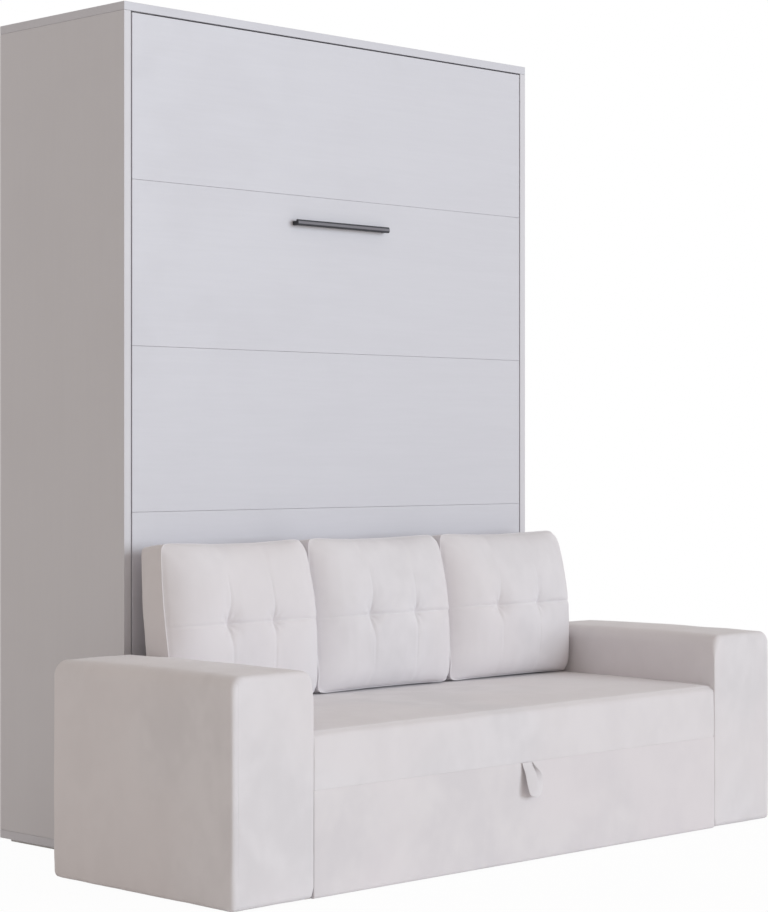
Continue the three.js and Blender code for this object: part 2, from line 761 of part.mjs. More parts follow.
// Storage drawer behind the padded lower front
function makeDrawer() {
  const group = new THREE.Group();
  const front = paddedBlock(
    across(frontWidth / 2),
    [-sofaFront, drawerFrontBack],
    [drawerFloorGap, seamHeight - 1],
    [evenly(drawerFrontRadius), evenly(drawerFrontRadius), [drawerFrontRadius, seatHem]],
    0,
    [5, 1, 2],
  );
  add(group, "drawer_front", front, upholstery);
  const boxFront = drawerFrontBack + seatGap;
  const heights = [drawerSideBottom, drawerSideTop];
  for (const [word, side] of sides) {
    const span = beside(side, drawerSideInner, drawerSideOuter);
    block(group, `drawer_side_${word}`, span, [boxFront, drawerBack], heights, plyBoard);
  }
  const between = across(drawerSideInner - seatGap);
  const backFace = drawerBack - drawerSideThickness;
  block(group, "drawer_back", between, [backFace, drawerBack], heights, plyBoard);
  const floorHeights = [drawerBottomLevel, drawerBottomLevel + drawerBottomThickness];
  block(group, "drawer_bottom", between, [boxFront, backFace - seatGap], floorHeights, plyBoard);
  add(group, "pull_strap", makePullStrap(), upholstery);
  return group;
}

// Folded loop of fabric strap, hanging from a tab on the drawer front's top edge
function makePullStrap() {
  const steps = 28;
  const root = new THREE.Vector2(-sofaFront - pullGap - pullThickness / 2, seamHeight + 0.2);
  const opening = (turn) => (Math.sin(turn / 2) ** 1.5 * (1 - Math.sin(turn))) / 2;
  const widest = Math.max(...Array.from({ length: 181 }, (_, i) => opening(Math.PI * (1 + i / 180))));
  const bulge = (pullReach - pullGap - pullThickness) / widest;
  const centre = (turn) =>
    new THREE.Vector2(root.x - bulge * opening(turn), root.y - (pullLength / 2) * (1 - Math.cos(turn)));
  const offset = (turn, distance) => {
    const along = centre(turn + 0.01).sub(centre(turn - 0.01)).normalize();
    return centre(turn).add(new THREE.Vector2(-along.y, along.x).multiplyScalar(distance));
  };
  const line = (from, distance) => {
    const turned = (i) => from + ((2 * Math.PI - 2 * from) * i) / steps;
    return Array.from({ length: steps + 1 }, (_, i) => offset(turned(i), distance));
  };
  const ring = new THREE.Shape(line(0.2, pullThickness / 2));
  ring.holes.push(new THREE.Path(line(0.6, -pullThickness / 2).reverse()));
  const span = across(pullWidth / 2);
  const tab = slab(span, [root.x - 2.4, root.x + pullTab], [seamHeight - 1 + seatGap, seamHeight + 1]);
  return joined(alongX(ring, span), tab);
}

// One back cushion in its own frame: crowned faces, a seam round each, sewn channels and two tufts in front
function makeBackCushion() {
  const halfX = cushionWidth / 2;
  const halfZ = cushionHeight / 2;
  const halfSeam = cushionSeam / 2;
  const tuft = tuftOffset / halfX;
  const across1 = [0, tuft - 0.2, tuft - 0.06, tuft, tuft + 0.06, 0.52, 0.7, 0.84, 0.94, 1];
  const across2 = [0, 0.07, 0.24, 0.46, 0.66, 0.82, 0.93, 1];
  const mirror = (list) => [...list.slice(1).map((s) => -s).reverse(), ...list];
  const crownShape = (u, v) => ((1 - Math.abs(u) ** 6) * (1 - Math.abs(v) ** 5)) ** 0.5;
  const groove = (distance, width) => Math.exp(-((distance / width) ** 2));
  const place = (u, t, v) => {
    const size = Math.max(Math.abs(u), Math.abs(v), 1e-6);
    const powers = (Math.abs(u) / size) ** cushionCorner + (Math.abs(v) / size) ** cushionCorner;
    const round = Math.max(1, powers) ** (-1 / cushionCorner);
    const pull = 1 + (round - 1) * size ** 3;
    const edge = size ** 4 * (1 - t * t);
    const x = halfX * u * pull + Math.sign(u) * cushionPuff * edge * (1 - v * v);
    const z = halfZ * v * pull + Math.sign(v) * cushionPuff * edge * (1 - u * u);
    if (Math.abs(t) < 1) return [x, halfSeam * t, z];
    const crown = crownShape(u, v);
    if (t > 0) return [x, halfSeam + cushionBackCrown * crown, z];
    const fade = Math.min(1, 1.4 * crown);
    const near = Math.abs(Math.abs(x) - tuftOffset);
    const level = z - tuftLevel;
    const sewn = channelDepth * Math.max(groove(near, 7), groove(level, 7));
    const pit = tuftDepth * groove(Math.hypot(near, level), tuftRadius);
    return [x, -(halfSeam + cushionFrontCrown * crown) + (sewn + pit) * fade, z];
  };
  return gridForm(mirror(across1), [-1, -0.4, 0.4, 1], mirror(across2), place);
}

function makeBackCushions() {
  const group = new THREE.Group();
  const lean = radians(cushionLean);
  const bottom = (cushionHeight / 2) * Math.cos(lean) + (cushionSeam / 2) * Math.sin(lean);
  const rest = (cushionSeam / 2) * Math.cos(lean) - (cushionHeight / 2) * Math.sin(lean) - cushionCentreDepth;
  const seatHalf = (sofaFront - seatBackGap) / 2;
  const rise = seatCrown * (1 - ((rest + sofaFront - seatHalf) / seatHalf) ** 2);
  const centre = seatTop + rise + seatGap + bottom;
  const names = ["left", "middle", "right"];
  names.slice(0, cushionCount).forEach((word, i) => {
    const cushion = add(group, `back_cushion_${word}`, makeBackCushion(), upholstery);
    const place = i - (cushionCount - 1) / 2;
    const level = centre - Math.abs(place) * outerCushionDrop;
    cushion.position.set(place * cushionPitch, -cushionCentreDepth, level);
    cushion.rotation.x = -lean;
  });
  return group;
}

const wallBed = new THREE.Group();
wallBed.add(makeCabinet(), makeWallBrackets(), makePivotPlates());
wallBed.add(makeBed(), makeFootLeg(), ...sides.map(([word, side]) => makeGasSpring(word, side)));
wallBed.add(makeArmrests(), makeSofaBase(), makeDrawer(), makeBackCushions());
wallBed.position.y = (sofaFront + pullReach - cabinetDepth) / 2;

export default wallBed;
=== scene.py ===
# Wall bed with a sofa in front: what shows of it, in metres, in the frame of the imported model.
# X runs to the right, Y to the wall and Z up. FRONT is the plane of the cabinet's front edges.
import json
import math

import bmesh
import bpy
from mathutils import Matrix, Vector, noise

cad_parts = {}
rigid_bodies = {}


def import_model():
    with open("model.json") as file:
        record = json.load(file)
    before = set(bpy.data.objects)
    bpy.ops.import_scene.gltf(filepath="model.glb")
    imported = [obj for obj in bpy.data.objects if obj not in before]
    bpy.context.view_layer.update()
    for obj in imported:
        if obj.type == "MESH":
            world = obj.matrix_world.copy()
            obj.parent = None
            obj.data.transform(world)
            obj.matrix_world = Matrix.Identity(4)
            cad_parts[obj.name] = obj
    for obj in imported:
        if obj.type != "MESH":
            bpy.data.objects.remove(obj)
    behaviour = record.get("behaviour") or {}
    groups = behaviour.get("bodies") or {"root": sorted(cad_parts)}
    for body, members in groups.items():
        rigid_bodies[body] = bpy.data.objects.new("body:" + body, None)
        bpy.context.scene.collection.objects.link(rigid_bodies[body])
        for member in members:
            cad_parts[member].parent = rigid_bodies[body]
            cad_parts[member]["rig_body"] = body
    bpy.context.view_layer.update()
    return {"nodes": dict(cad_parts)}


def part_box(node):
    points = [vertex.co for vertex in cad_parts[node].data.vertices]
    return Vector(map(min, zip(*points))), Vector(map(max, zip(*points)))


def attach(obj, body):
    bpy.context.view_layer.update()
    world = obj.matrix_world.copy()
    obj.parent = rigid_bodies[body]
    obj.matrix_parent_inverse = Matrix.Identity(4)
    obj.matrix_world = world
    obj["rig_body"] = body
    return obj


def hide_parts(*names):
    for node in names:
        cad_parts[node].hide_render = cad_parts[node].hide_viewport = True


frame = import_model()
nodes = frame["nodes"]
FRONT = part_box("cabinet_top")[0].y
SIDES = ((-1, "left"), (1, "right"))


# Shader building

UNSET = (0.8, 0.8, 0.8, 1.0)


def wire(tree, kind, inputs=None, **settings):
    """A new node, with each input linked or set."""
    node = tree.nodes.new(kind)
    for key, value in settings.items():
        setattr(node, key, value)
    for socket, value in (inputs or {}).items():
        if isinstance(value, bpy.types.NodeSocket):
            tree.links.new(value, node.inputs[socket])
        else:
            node.inputs[socket].default_value = value
    return node


def blend_colours(tree, factor, first, second):
    inputs = {0: factor, 6: first, 7: second}
    return wire(tree, "ShaderNodeMix", inputs, data_type="RGBA", blend_type="MIX").outputs[2]


def sums(tree, operation, first, second=0.0, third=0.0):
    inputs = {0: first, 1: second}
    if operation == "MULTIPLY_ADD":
        inputs[2] = third
    return wire(tree, "ShaderNodeMath", inputs, operation=operation).outputs[0]


def weighted(tree, first, share, second):
    """The mean of two values, in which the first has this share."""
    return sums(tree, "MULTIPLY_ADD", first, share, sums(tree, "MULTIPLY", second, 1 - share))


def ramped(tree, value, low, high, to_low=0.0, to_high=1.0):
    inputs = {"Value": value, "From Min": low, "From Max": high, "To Min": to_low, "To Max": to_high}
    return wire(tree, "ShaderNodeMapRange", inputs, interpolation_type="SMOOTHSTEP").outputs[0]


def new_group(name, inputs, outputs):
    group = bpy.data.node_groups.new(name, "ShaderNodeTree")
    for label, value in inputs.items():
        kind = "NodeSocketFloat"
        if isinstance(value, tuple):
            kind = "NodeSocketColor" if len(value) == 4 else "NodeSocketVector"
        socket = group.interface.new_socket(label, in_out="INPUT", socket_type=kind)
        socket.default_value = value
    for label, kind in outputs.items():
        group.interface.new_socket(label, in_out="OUTPUT", socket_type=f"NodeSocket{kind}")
    return group, group.nodes.new("NodeGroupInput").outputs, group.nodes.new("NodeGroupOutput").inputs


def stretched(tree, stretch=(1.0, 1.0, 1.0)):
    """Object coordinates, drawn out along one axis or another."""
    place = wire(tree, "ShaderNodeTexCoord").outputs["Object"]
    return wire(tree, "ShaderNodeMapping", {"Vector": place, "Scale": stretch}).outputs[0]


def noise_on(tree, where, scale, detail=2.0, roughness=0.5, distortion=0.0):
    inputs = {"Vector": where, "Scale": scale, "Detail": detail, "Roughness": roughness,
              "Distortion": distortion}
    return wire(tree, "ShaderNodeTexNoise", inputs).outputs[0]


def build_nap_group():
    """Brushed velour: cloudy patches where the pile lies another way, and the pile itself."""
    inputs = {"Light": UNSET, "Dark": UNSET, "Tint": UNSET, "Patch Scale": 7.0}
    outputs = {"Color": "Color", "Height": "Float", "Lie": "Float"}
    group, given, out = new_group("brushed_nap", inputs, outputs)
    place = stretched(group, (1.0, 1.0, 0.8))
    clouds = noise_on(group, place, given["Patch Scale"], distortion=0.5)
    strokes = noise_on(group, place, scale=31.0, detail=1.0, roughness=0.4, distortion=0.3)
    lie = ramped(group, weighted(group, strokes, 0.22, clouds), low=0.33, high=0.67)
    warm = ramped(group, noise_on(group, place, scale=2.3, detail=1.0), low=0.42, high=0.6)
    colour = blend_colours(group, lie, given["Dark"], given["Light"])
    tinted = blend_colours(group, sums(group, "MULTIPLY", warm, 0.55), colour, given["Tint"])
    pile = noise_on(group, place, scale=1500.0, detail=1.0)
    group.links.new(tinted, out["Color"])
    group.links.new(weighted(group, pile, 0.35, lie), out["Height"])
    group.links.new(lie, out["Lie"])
    return group


def build_grain_group():
    """Long grain: fine lines that run along the axis with the smallest stretch."""
    inputs = {"Ground": UNSET, "Lines": UNSET, "Stretch": (1.0, 1.0, 1.0), "Fineness": 40.0}
    group, given, out = new_group("long_grain", inputs, {"Color": "Color", "Height": "Float"})
    place = stretched(group, given["Stretch"])
    broad_scale = sums(group, "MULTIPLY", given["Fineness"], 0.16)
    broad = noise_on(group, place, broad_scale, detail=3.0, roughness=0.6, distortion=1.2)
    fine = noise_on(group, place, given["Fineness"], detail=4.0, roughness=0.6, distortion=0.3)
    lines = ramped(group, weighted(group, fine, 0.55, broad), low=0.36, high=0.66)
    group.links.new(blend_colours(group, lines, given["Lines"], given["Ground"]), out["Color"])
    group.links.new(lines, out["Height"])
    return group


def build_weave_group():
    """Threads that pass over and under each other."""
    group, given, out = new_group("thread_weave", {"Threads": 900.0}, {"Height": "Float", "Over": "Float"})
    parts = wire(group, "ShaderNodeSeparateXYZ", {0: stretched(group)}).outputs
    waves = []
    for axis in (0, 2):
        along = sums(group, "MULTIPLY_ADD", parts[1], 0.5, parts[axis])
        waves.append(sums(group, "SINE", sums(group, "MULTIPLY", along, given["Threads"])))
    over = sums(group, "MULTIPLY_ADD", sums(group, "MULTIPLY", waves[0], waves[1]), 0.5, 0.5)
    fluff = noise_on(group, stretched(group), scale=700.0)
    group.links.new(weighted(group, fluff, 0.3, over), out["Height"])
    group.links.new(over, out["Over"])
    return group


def build_speckle_group():
    """Powder coat, moulded plastic and cast surfaces: fine bumps, and smears that change the gloss."""
    inputs = {"Fineness": 900.0, "Smear": 9.0}
    group, given, out = new_group("fine_speckle", inputs, {"Height": "Float", "Smears": "Float"})
    place = stretched(group)
    smears = noise_on(group, place, given["Smear"], detail=4.0, roughness=0.65, distortion=0.5)
    group.links.new(noise_on(group, place, given["Fineness"], roughness=0.6), out["Height"])
    group.links.new(ramped(group, smears, low=0.35, high=0.7), out["Smears"])
    return group


GROUPS = {
    "nap": build_nap_group(),
    "grain": build_grain_group(),
    "weave": build_weave_group(),
    "speckle": build_speckle_group(),
}


def rgba(hexadecimal):
    """A colour as it is written on a screen, made linear."""
    parts = [int(hexadecimal[i:i + 2], 16) / 255 for i in (0, 2, 4)]
    return tuple((p / 12.92 if p <= 0.04045 else ((p + 0.055) / 1.055) ** 2.4) for p in parts) + (1.0,)


def start_material(name, **sockets):
    material = bpy.data.materials.new(name)
    material.use_nodes = True
    tree = material.node_tree
    shader = tree.nodes["Principled BSDF"]
    for label, value in sockets.items():
        shader.inputs[label.replace("_", " ")].default_value = value
    return material, tree, shader


def use_group(tree, which, **inputs):
    node = tree.nodes.new("ShaderNodeGroup")
    node.node_tree = GROUPS[which]
    for label, value in inputs.items():
        node.inputs[label.replace("_", " ")].default_value = value
    return node.outputs


def colour_surface(tree, shader, colour):
    tree.links.new(colour, shader.inputs["Base Color"])


def vary_roughness(tree, shader, value, at_zero, at_one):
    tree.links.new(ramped(tree, value, 0.0, 1.0, at_zero, at_one), shader.inputs["Roughness"])


def raise_surface(tree, shader, height, distance, strength):
    bump = wire(tree, "ShaderNodeBump", {"Height": height, "Distance": distance, "Strength": strength})
    tree.links.new(bump.outputs[0], shader.inputs["Normal"])


def velour(name, light, dark, tint, patches=7.0):
    sheen = {"Sheen_Weight": 0.22, "Sheen_Roughness": 0.45}
    material, tree, shader = start_material(name, Specular_IOR_Level=0.25, **sheen)
    colours = {"Light": rgba(light), "Dark": rgba(dark), "Tint": rgba(tint)}
    nap = use_group(tree, "nap", Patch_Scale=patches, **colours)
    colour_surface(tree, shader, nap["Color"])
    vary_roughness(tree, shader, nap["Lie"], 0.93, 0.8)
    raise_surface(tree, shader, nap["Height"], distance=0.0006, strength=0.6)
    return material


def melamine(name, ground, lines, stretch, roughness):
    material, tree, shader = start_material(name, Specular_IOR_Level=0.4)
    colours = {"Ground": rgba(ground), "Lines": rgba(lines)}
    grain = use_group(tree, "grain", Stretch=stretch, Fineness=120.0, **colours)
    colour_surface(tree, shader, grain["Color"])
    speckle = use_group(tree, "speckle", Fineness=1300.0, Smear=5.0)
    vary_roughness(tree, shader, speckle["Smears"], roughness - 0.04, roughness + 0.05)
    height = sums(tree, "MULTIPLY_ADD", grain["Height"], 0.6, speckle["Height"])
    raise_surface(tree, shader, height, distance=0.00012, strength=0.5)
    return material


PLY_LAYER = 0.003


def plywood(name, stretch, across):
    """Birch faces with the grain along the board, and the glued layers on the edges."""
    material, tree, shader = start_material(name, Specular_IOR_Level=0.35)
    colours = {"Ground": rgba("dcc6a0"), "Lines": rgba("c9ad80")}
    grain = use_group(tree, "grain", Stretch=stretch, Fineness=60.0, **colours)
    place = wire(tree, "ShaderNodeTexCoord").outputs["Object"]
    normal = wire(tree, "ShaderNodeNewGeometry").outputs["True Normal"]
    parts = wire(tree, "ShaderNodeSeparateXYZ", {0: place}).outputs
    facing = wire(tree, "ShaderNodeSeparateXYZ", {0: normal}).outputs
    on_edge = ramped(tree, sums(tree, "ABSOLUTE", facing[across]), 0.3, 0.7, 1.0, 0.0)
    turns = sums(tree, "MULTIPLY", parts[across], 2 * math.pi / PLY_LAYER)
    layers = ramped(tree, sums(tree, "SINE", turns), -0.2, 0.5)
    glue = sums(tree, "MULTIPLY", on_edge, layers)
    colour_surface(tree, shader, blend_colours(tree, glue, grain["Color"], rgba("a8845a")))
    vary_roughness(tree, shader, grain["Height"], 0.74, 0.6)
    raise_surface(tree, shader, grain["Height"], distance=0.0002, strength=0.5)
    return material


def coated(name, colour, rubbed, roughness, metallic=0.0, fineness=900.0, bump=0.0001, coat=0.0):
    """Paint, powder coat or plastic over a fine texture."""
    material, tree, shader = start_material(name, Metallic=metallic, Coat_Weight=coat)
    speckle = use_group(tree, "speckle", Fineness=fineness, Smear=9.0)
    colour_surface(tree, shader, blend_colours(tree, speckle["Smears"], rgba(colour), rgba(rubbed)))
    vary_roughness(tree, shader, speckle["Smears"], roughness, roughness + 0.12)
    raise_surface(tree, shader, speckle["Height"], bump, strength=0.6)
    return material


def woven(name, over, under, threads, roughness=0.9, bump=0.0003):
    material, tree, shader = start_material(name, Sheen_Weight=0.1, Specular_IOR_Level=0.2)
    weave = use_group(tree, "weave", Threads=threads)
    colour_surface(tree, shader, blend_colours(tree, weave["Over"], rgba(under), rgba(over)))
    smears = use_group(tree, "speckle", Fineness=500.0, Smear=6.0)["Smears"]
    vary_roughness(tree, shader, smears, roughness, roughness - 0.1)
    raise_surface(tree, shader, weave["Height"], bump, strength=0.8)
    return material


# The grain runs along the axis with the small number
ACROSS_BOARD = (0.05, 1.0, 1.0)
UP_BOARD = (1.0, 1.0, 0.05)
BACK_BOARD = (1.0, 0.05, 1.0)
fabric = velour("off_white_velour", "e3e0e3", "dcd9dc", "e3dee0")
front_fabric = velour("off_white_velour_lower_front", "e2dee0", "dbd7da", "e2dcdf", 5.0)
white_across = melamine("white_melamine_grain_across", "cccbd1", "cac9cf", ACROSS_BOARD, 0.42)
white_up = melamine("white_melamine_grain_up", "d0ced2", "cfcdd1", UP_BOARD, 0.42)
facade_white = melamine("facade_melamine", "cecdd3", "cccbd1", ACROSS_BOARD, 0.4)
fibreboard = melamine("pale_fibreboard", "cdc9c2", "c2bdb5", ACROSS_BOARD, 0.7)
ply_flat = plywood("birch_ply_flat", ACROSS_BOARD, 2)
ply_upright = plywood("birch_ply_upright", ACROSS_BOARD, 1)
ply_side = plywood("birch_ply_side", BACK_BOARD, 0)
beech = plywood("beech_slat", ACROSS_BOARD, 1)
grey_steel = coated("grey_powder_coat", "8b8f96", "969aa0", 0.42, 0.3)
anthracite = coated("anthracite_handle", "2c2c32", "34343a", 0.5, 0.1, 1500.0, 0.00004)
# A lighter copy of the anthracite for the bar's front face: a painted reflection of the room.
painted_reflection_face = coated("handle_painted_reflection", "6a686e", "726f75", 0.55, 0.1, 1500.0, 0.00004)
black_gloss = coated("black_gas_spring", "1d1d20", "26262a", 0.18, 0.2, 700.0, 0.00003, 0.4)
rod_chrome = coated("polished_rod", "d4d6da", "e2e3e6", 0.06, 1.0, 400.0, 0.00001)
dark_plastic = coated("dark_plastic", "3c3d41", "46474b", 0.5, 0.0, 1100.0, 0.00012)
pale_plastic = coated("pale_glide_plastic", "dedbd8", "e6e3e0", 0.5, 0.0, 1100.0, 0.0001)
ticking = woven("mattress_ticking", "f1efeb", "e6e3de", 1700.0)
belt_weave = woven("grey_belt_webbing", "7c7e84", "5d5f65", 2400.0, 0.85, 0.0004)


# Mesh helpers

def new_object(name, data):
    made = bpy.data.objects.new(name, data)
    bpy.context.scene.collection.objects.link(made)
    return made


def to_object(bm, name, material):
    mesh = bpy.data.meshes.new(name)
    bm.to_mesh(mesh)
    bm.free()
    mesh.materials.append(material)
    return new_object(name, mesh)


def place_piece(piece, body, slot, *stands_for):
    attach(piece, body)
    if stands_for:
        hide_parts(*stands_for)
    return piece


def paint_node(node, material):
    nodes[node].data.materials.clear()
    nodes[node].data.materials.append(material)


def smooth_all(bm):
    for face in bm.faces:
        face.smooth = True


def ease_edges(bm, width, segments=2, least_angle=0.5):
    """Rounds the sharp edges and leaves the flats flat."""
    sharp = [e for e in bm.edges if e.is_manifold and e.calc_face_angle(0.0) > least_angle]
    done = bmesh.ops.bevel(bm, geom=sharp, offset=width, offset_type="OFFSET", segments=segments,
                           profile=0.5, affect="EDGES", material=-1, clamp_overlap=True)
    for face in done["faces"]:
        face.smooth = True


def eased_copy(node, width, material, slot):
    """A CAD solid with its edges eased, as edge banding or a bend leaves them."""
    bm = bmesh.new()
    bm.from_mesh(nodes[node].data)
    bmesh.ops.remove_doubles(bm, verts=bm.verts, dist=1e-5)
    bmesh.ops.dissolve_limit(bm, angle_limit=0.02, verts=bm.verts, edges=bm.edges)
    ease_edges(bm, width)
    piece = to_object(bm, f"{node}_eased", material)
    return place_piece(piece, nodes[node]["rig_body"], slot, node)


def box_form(low, high):
    bm = bmesh.new()
    bmesh.ops.create_cube(bm, size=1.0)
    size = [b - a for a, b in zip(low, high)]
    bmesh.ops.scale(bm, vec=size, verts=bm.verts)
    bmesh.ops.translate(bm, vec=[(a + b) / 2 for a, b in zip(low, high)], verts=bm.verts)
    return bm


def slice_at(bm, axis, stations):
    """Cuts the whole mesh at these places along one axis."""
    normal = Vector((0, 0, 0))
    normal[axis] = 1.0
    for station in stations:
        point = Vector((0, 0, 0))
        point[axis] = station
        geometry = list(bm.verts) + list(bm.edges) + list(bm.faces)
        bmesh.ops.bisect_plane(bm, geom=geometry, dist=1e-6, plane_co=point, plane_no=normal)


def even_cuts(low, high, step):
    count = max(1, round((high - low) / step))
    return [low + (high - low) * i / count for i in range(count + 1)]


def eased(value):
    """From 0 to 1 with a soft start and end."""
    value = min(max(value, 0.0), 1.0)
    return value * value * (3 - 2 * value)


def bump_over(value, centre, width):
    return math.exp(-(((value - centre) / width) ** 2))


def lumps(point, size, seed):
    """Slow, shallow unevenness, from about -1 to 1."""
    return noise.noise(Vector(point) / size + Vector((seed * 3.1, seed * 1.7, seed * 5.3)))


def crown_share(point, low, high, axes):
    """1 in the middle of a face and 0 at its edges."""
    share = 1.0
    for a in axes:
        middle, half = (low[a] + high[a]) / 2, (high[a] - low[a]) / 2
        share *= max(0.0, 1 - ((point[a] - middle) / half) ** 2)
    return share


# Forms with rounded edges

ROUNDING_CUTS = (0.42, 0.73)
CORNER_CUTS = (0.28, 0.52, 0.76, 1.0)
END_CUTS = (0.2, 0.4, 0.6, 0.8)
CLOSEST_CUTS = 0.0001
LEAST_RADIUS = 0.0003
ON_FACE = 1e-7


def spread_cuts(low, high, low_radii, high_radii, step, fractions, extra):
    """Even cuts between the roundings, cuts inside each rounding and the extra ones, none too close."""
    cuts = even_cuts(low + max(low_radii), high - max(high_radii), step)
    cuts += [low + radius * f for radius in low_radii for f in fractions]
    cuts += [high - radius * f for radius in high_radii for f in fractions]
    cuts = sorted(cuts + list(extra))
    return [cut for k, cut in enumerate(cuts) if k == 0 or cut - cuts[k - 1] > CLOSEST_CUTS]


def rounded(point, low, high, radii):
    """Moves a point of a box's surface onto the same box with rounded edges."""
    inner, out = Vector(), Vector()
    for a in range(3):
        inner[a] = min(max(point[a], low[a] + radii[a]), high[a] - radii[a])
        out[a] = (point[a] - inner[a]) / radii[a]
    out.normalize()
    return Vector([inner[a] + out[a] * radii[a] for a in range(3)]), out


def padded_form(low, high, radii, step, extra):
    """A box with rounded edges, and the outward direction of every point."""
    bm = box_form(low, high)
    for a, radius in enumerate(radii):
        slice_at(bm, a, spread_cuts(low[a], high[a], {radius}, {radius}, step, ROUNDING_CUTS, extra[a]))
    normals = {}
    for v in bm.verts:
        v.co, out = rounded(v.co.copy(), low, high, radii)
        normals[v] = out
    return bm, normals


def on_section(a, b, low, high, corners, inset):
    """Where a point of a rectangle lies on the same rectangle with rounded corners, drawn in by the inset.
    Gives the outward direction in the section too."""
    widest = max(corners)
    spans = ((a, low[0], high[0]), (b, low[1], high[1]))
    shares = [eased((value - start - widest) / (end - start - 2 * widest)) for value, start, end in spans]
    under = corners[0] + (corners[1] - corners[0]) * shares[0]
    over = corners[2] + (corners[3] - corners[2]) * shares[0]
    radius = under + (over - under) * shares[1]
    kept = max(radius - inset, LEAST_RADIUS)
    base, lean = [], []
    for value, start, end in spans:
        first, last = start + inset + kept, end - inset - kept
        if value < start + radius:
            base.append(first)
            lean.append((value - start - radius) / radius)
        elif value > end - radius:
            base.append(last)
            lean.append((value - end + radius) / radius)
        else:
            base.append(first + (last - first) * (value - start - radius) / (end - start - 2 * radius))
            lean.append(0.0)
    length = math.hypot(*lean)
    if length < 1e-9:
        return base, (0.0, 0.0)
    reach = max(abs(lean[0]), abs(lean[1])) * kept / length
    return [base[0] + lean[0] * reach, base[1] + lean[1] * reach], (lean[0] / length, lean[1] / length)


def end_turn(position, low, high, radius):
    """Near a rounded end: how far the section is drawn in, how much it faces the end and where it lies."""
    inset, slope, place = 0.0, 0.0, position
    for limit, way in ((low, -1), (high, 1)):
        depth = (limit - position) * way
        if depth < radius:
            turn = math.pi / 2 * depth / radius
            inset = radius * (1 - math.sin(turn))
            slope = way * math.cos(turn)
            place = limit - way * radius * (1 - math.cos(turn))
    return inset, slope, place


def long_form(low, high, axis, corners, end_round, step, extra):
    """A long cushion: its section has four round corners, low-low, high-low, low-high and high-high, and
    its two ends are rounded by themselves. Gives the mesh and the outward direction of every point."""
    a, b = [i for i in range(3) if i != axis]
    start, stop = low[axis], high[axis]
    bm = box_form(low, high)
    slice_at(bm, axis, [start + end_round * f for f in END_CUTS] + [stop - end_round * f for f in END_CUTS])
    plans = (
        (axis, {end_round}, {end_round}, ()),
        (a, {corners[0], corners[2]}, {corners[1], corners[3]}, CORNER_CUTS),
        (b, {corners[0], corners[1]}, {corners[2], corners[3]}, CORNER_CUTS),
    )
    for i, low_radii, high_radii, fractions in plans:
        slice_at(bm, i, spread_cuts(low[i], high[i], low_radii, high_radii, step, fractions, extra[i]))
    flat_low, flat_high = (low[a], low[b]), (high[a], high[b])
    normals = {}
    for v in bm.verts:
        p = v.co.copy()
        inset, slope, place = end_turn(p[axis], start, stop, end_round)
        flat, way = on_section(p[a], p[b], flat_low, flat_high, corners, inset)
        v.co[axis], v.co[a], v.co[b] = place, flat[0], flat[1]
        on_end = all(low[i] + ON_FACE < p[i] < high[i] - ON_FACE for i in (a, b))
        level = 0.0 if on_end else math.sqrt(max(0.0, 1 - slope * slope))
        out = Vector()
        out[axis] = math.copysign(1.0, slope) if on_end else slope
        out[a], out[b] = way[0] * level, way[1] * level
        normals[v] = out
    return bm, normals


# Boards and hardware

BOARD_EDGE = 0.0007


def dress_boards():
    plans = (
        (white_up, "laminate", ["cabinet_side_left", "cabinet_side_right"]),
        (white_across, "laminate", ["cabinet_top", "cabinet_bottom", "stop_rail"]),
        (fibreboard, "back_board", ["cabinet_back_lower", "cabinet_back_upper"]),
        (ply_flat, "ply", ["seat_board"]),
        (ply_upright, "ply", ["sofa_back_board"]),
        (ply_side, "ply", ["base_side_left", "base_side_right", "drawer_side_left", "drawer_side_right"]),
        (ply_upright, "ply", ["drawer_back"]),
        (ply_flat, "ply", ["drawer_bottom"]),
        (facade_white, "facade", [f"facade_panel_{i}" for i in range(1, 6)]),
    )
    for material, slot, boards in plans:
        for node in boards:
            eased_copy(node, BOARD_EDGE, material, slot)


def paint_hardware():
    steel = ["bed_rail_foot", "bed_rail_head", "bed_centre_beam", "foot_leg_crossbar"]
    steel_pairs = ["wall_bracket", "pivot_plate", "pivot_arm", "leg_bracket", "bed_rail", "foot_leg",
                   "drawer_runner"]
    for node in steel + [f"{pair}_{word}" for pair in steel_pairs for _, word in SIDES]:
        paint_node(node, grey_steel)
    for _, word in SIDES:
        paint_node(f"gas_cylinder_{word}", black_gloss)
        paint_node(f"gas_rod_{word}", rod_chrome)
        paint_node(f"cabinet_glide_{word}", pale_plastic)
        paint_node(f"armrest_foot_{word}", dark_plastic)
    paint_node("slat_base", beech)


# Handle

HANDLE_CHAMFER_DEPTH = 0.003
HANDLE_CHAMFER_HEIGHT = 0.0046
HANDLE_EDGE = 0.0005
POST_EDGE = 0.0012


def make_handle_bar():
    """A bar with two chamfers along its front. The narrow front face is painted lighter: a painted
    reflection.
    """
    low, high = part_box("handle_bar")
    bm = box_form(low, high)
    front = [e for e in bm.edges if all(abs(v.co.y - low.y) < 1e-6 for v in e.verts)]
    long_edges = [e for e in front if abs(e.verts[0].co.x - e.verts[1].co.x) > 0.1]
    bmesh.ops.bevel(bm, geom=long_edges, offset=HANDLE_CHAMFER_DEPTH, offset_type="OFFSET", segments=1,
                    profile=0.5, affect="EDGES", material=-1)
    middle = (low.z + high.z) / 2
    for v in bm.verts:
        if abs(v.co.y - low.y) < 1e-6:
            v.co.z = middle + math.copysign((high.z - low.z) / 2 - HANDLE_CHAMFER_HEIGHT, v.co.z - middle)
    ease_edges(bm, HANDLE_EDGE, least_angle=0.6)
    # Faces turned to the front take the lighter copy: a painted reflection.
    for face in bm.faces:
        face.material_index = int(face.normal.y < -0.97)
    bar = to_object(bm, "handle_bar_satin", anthracite)
    bar.data.materials.append(painted_reflection_face)
    place_piece(bar, "bed", "handle_metal", "handle_bar")


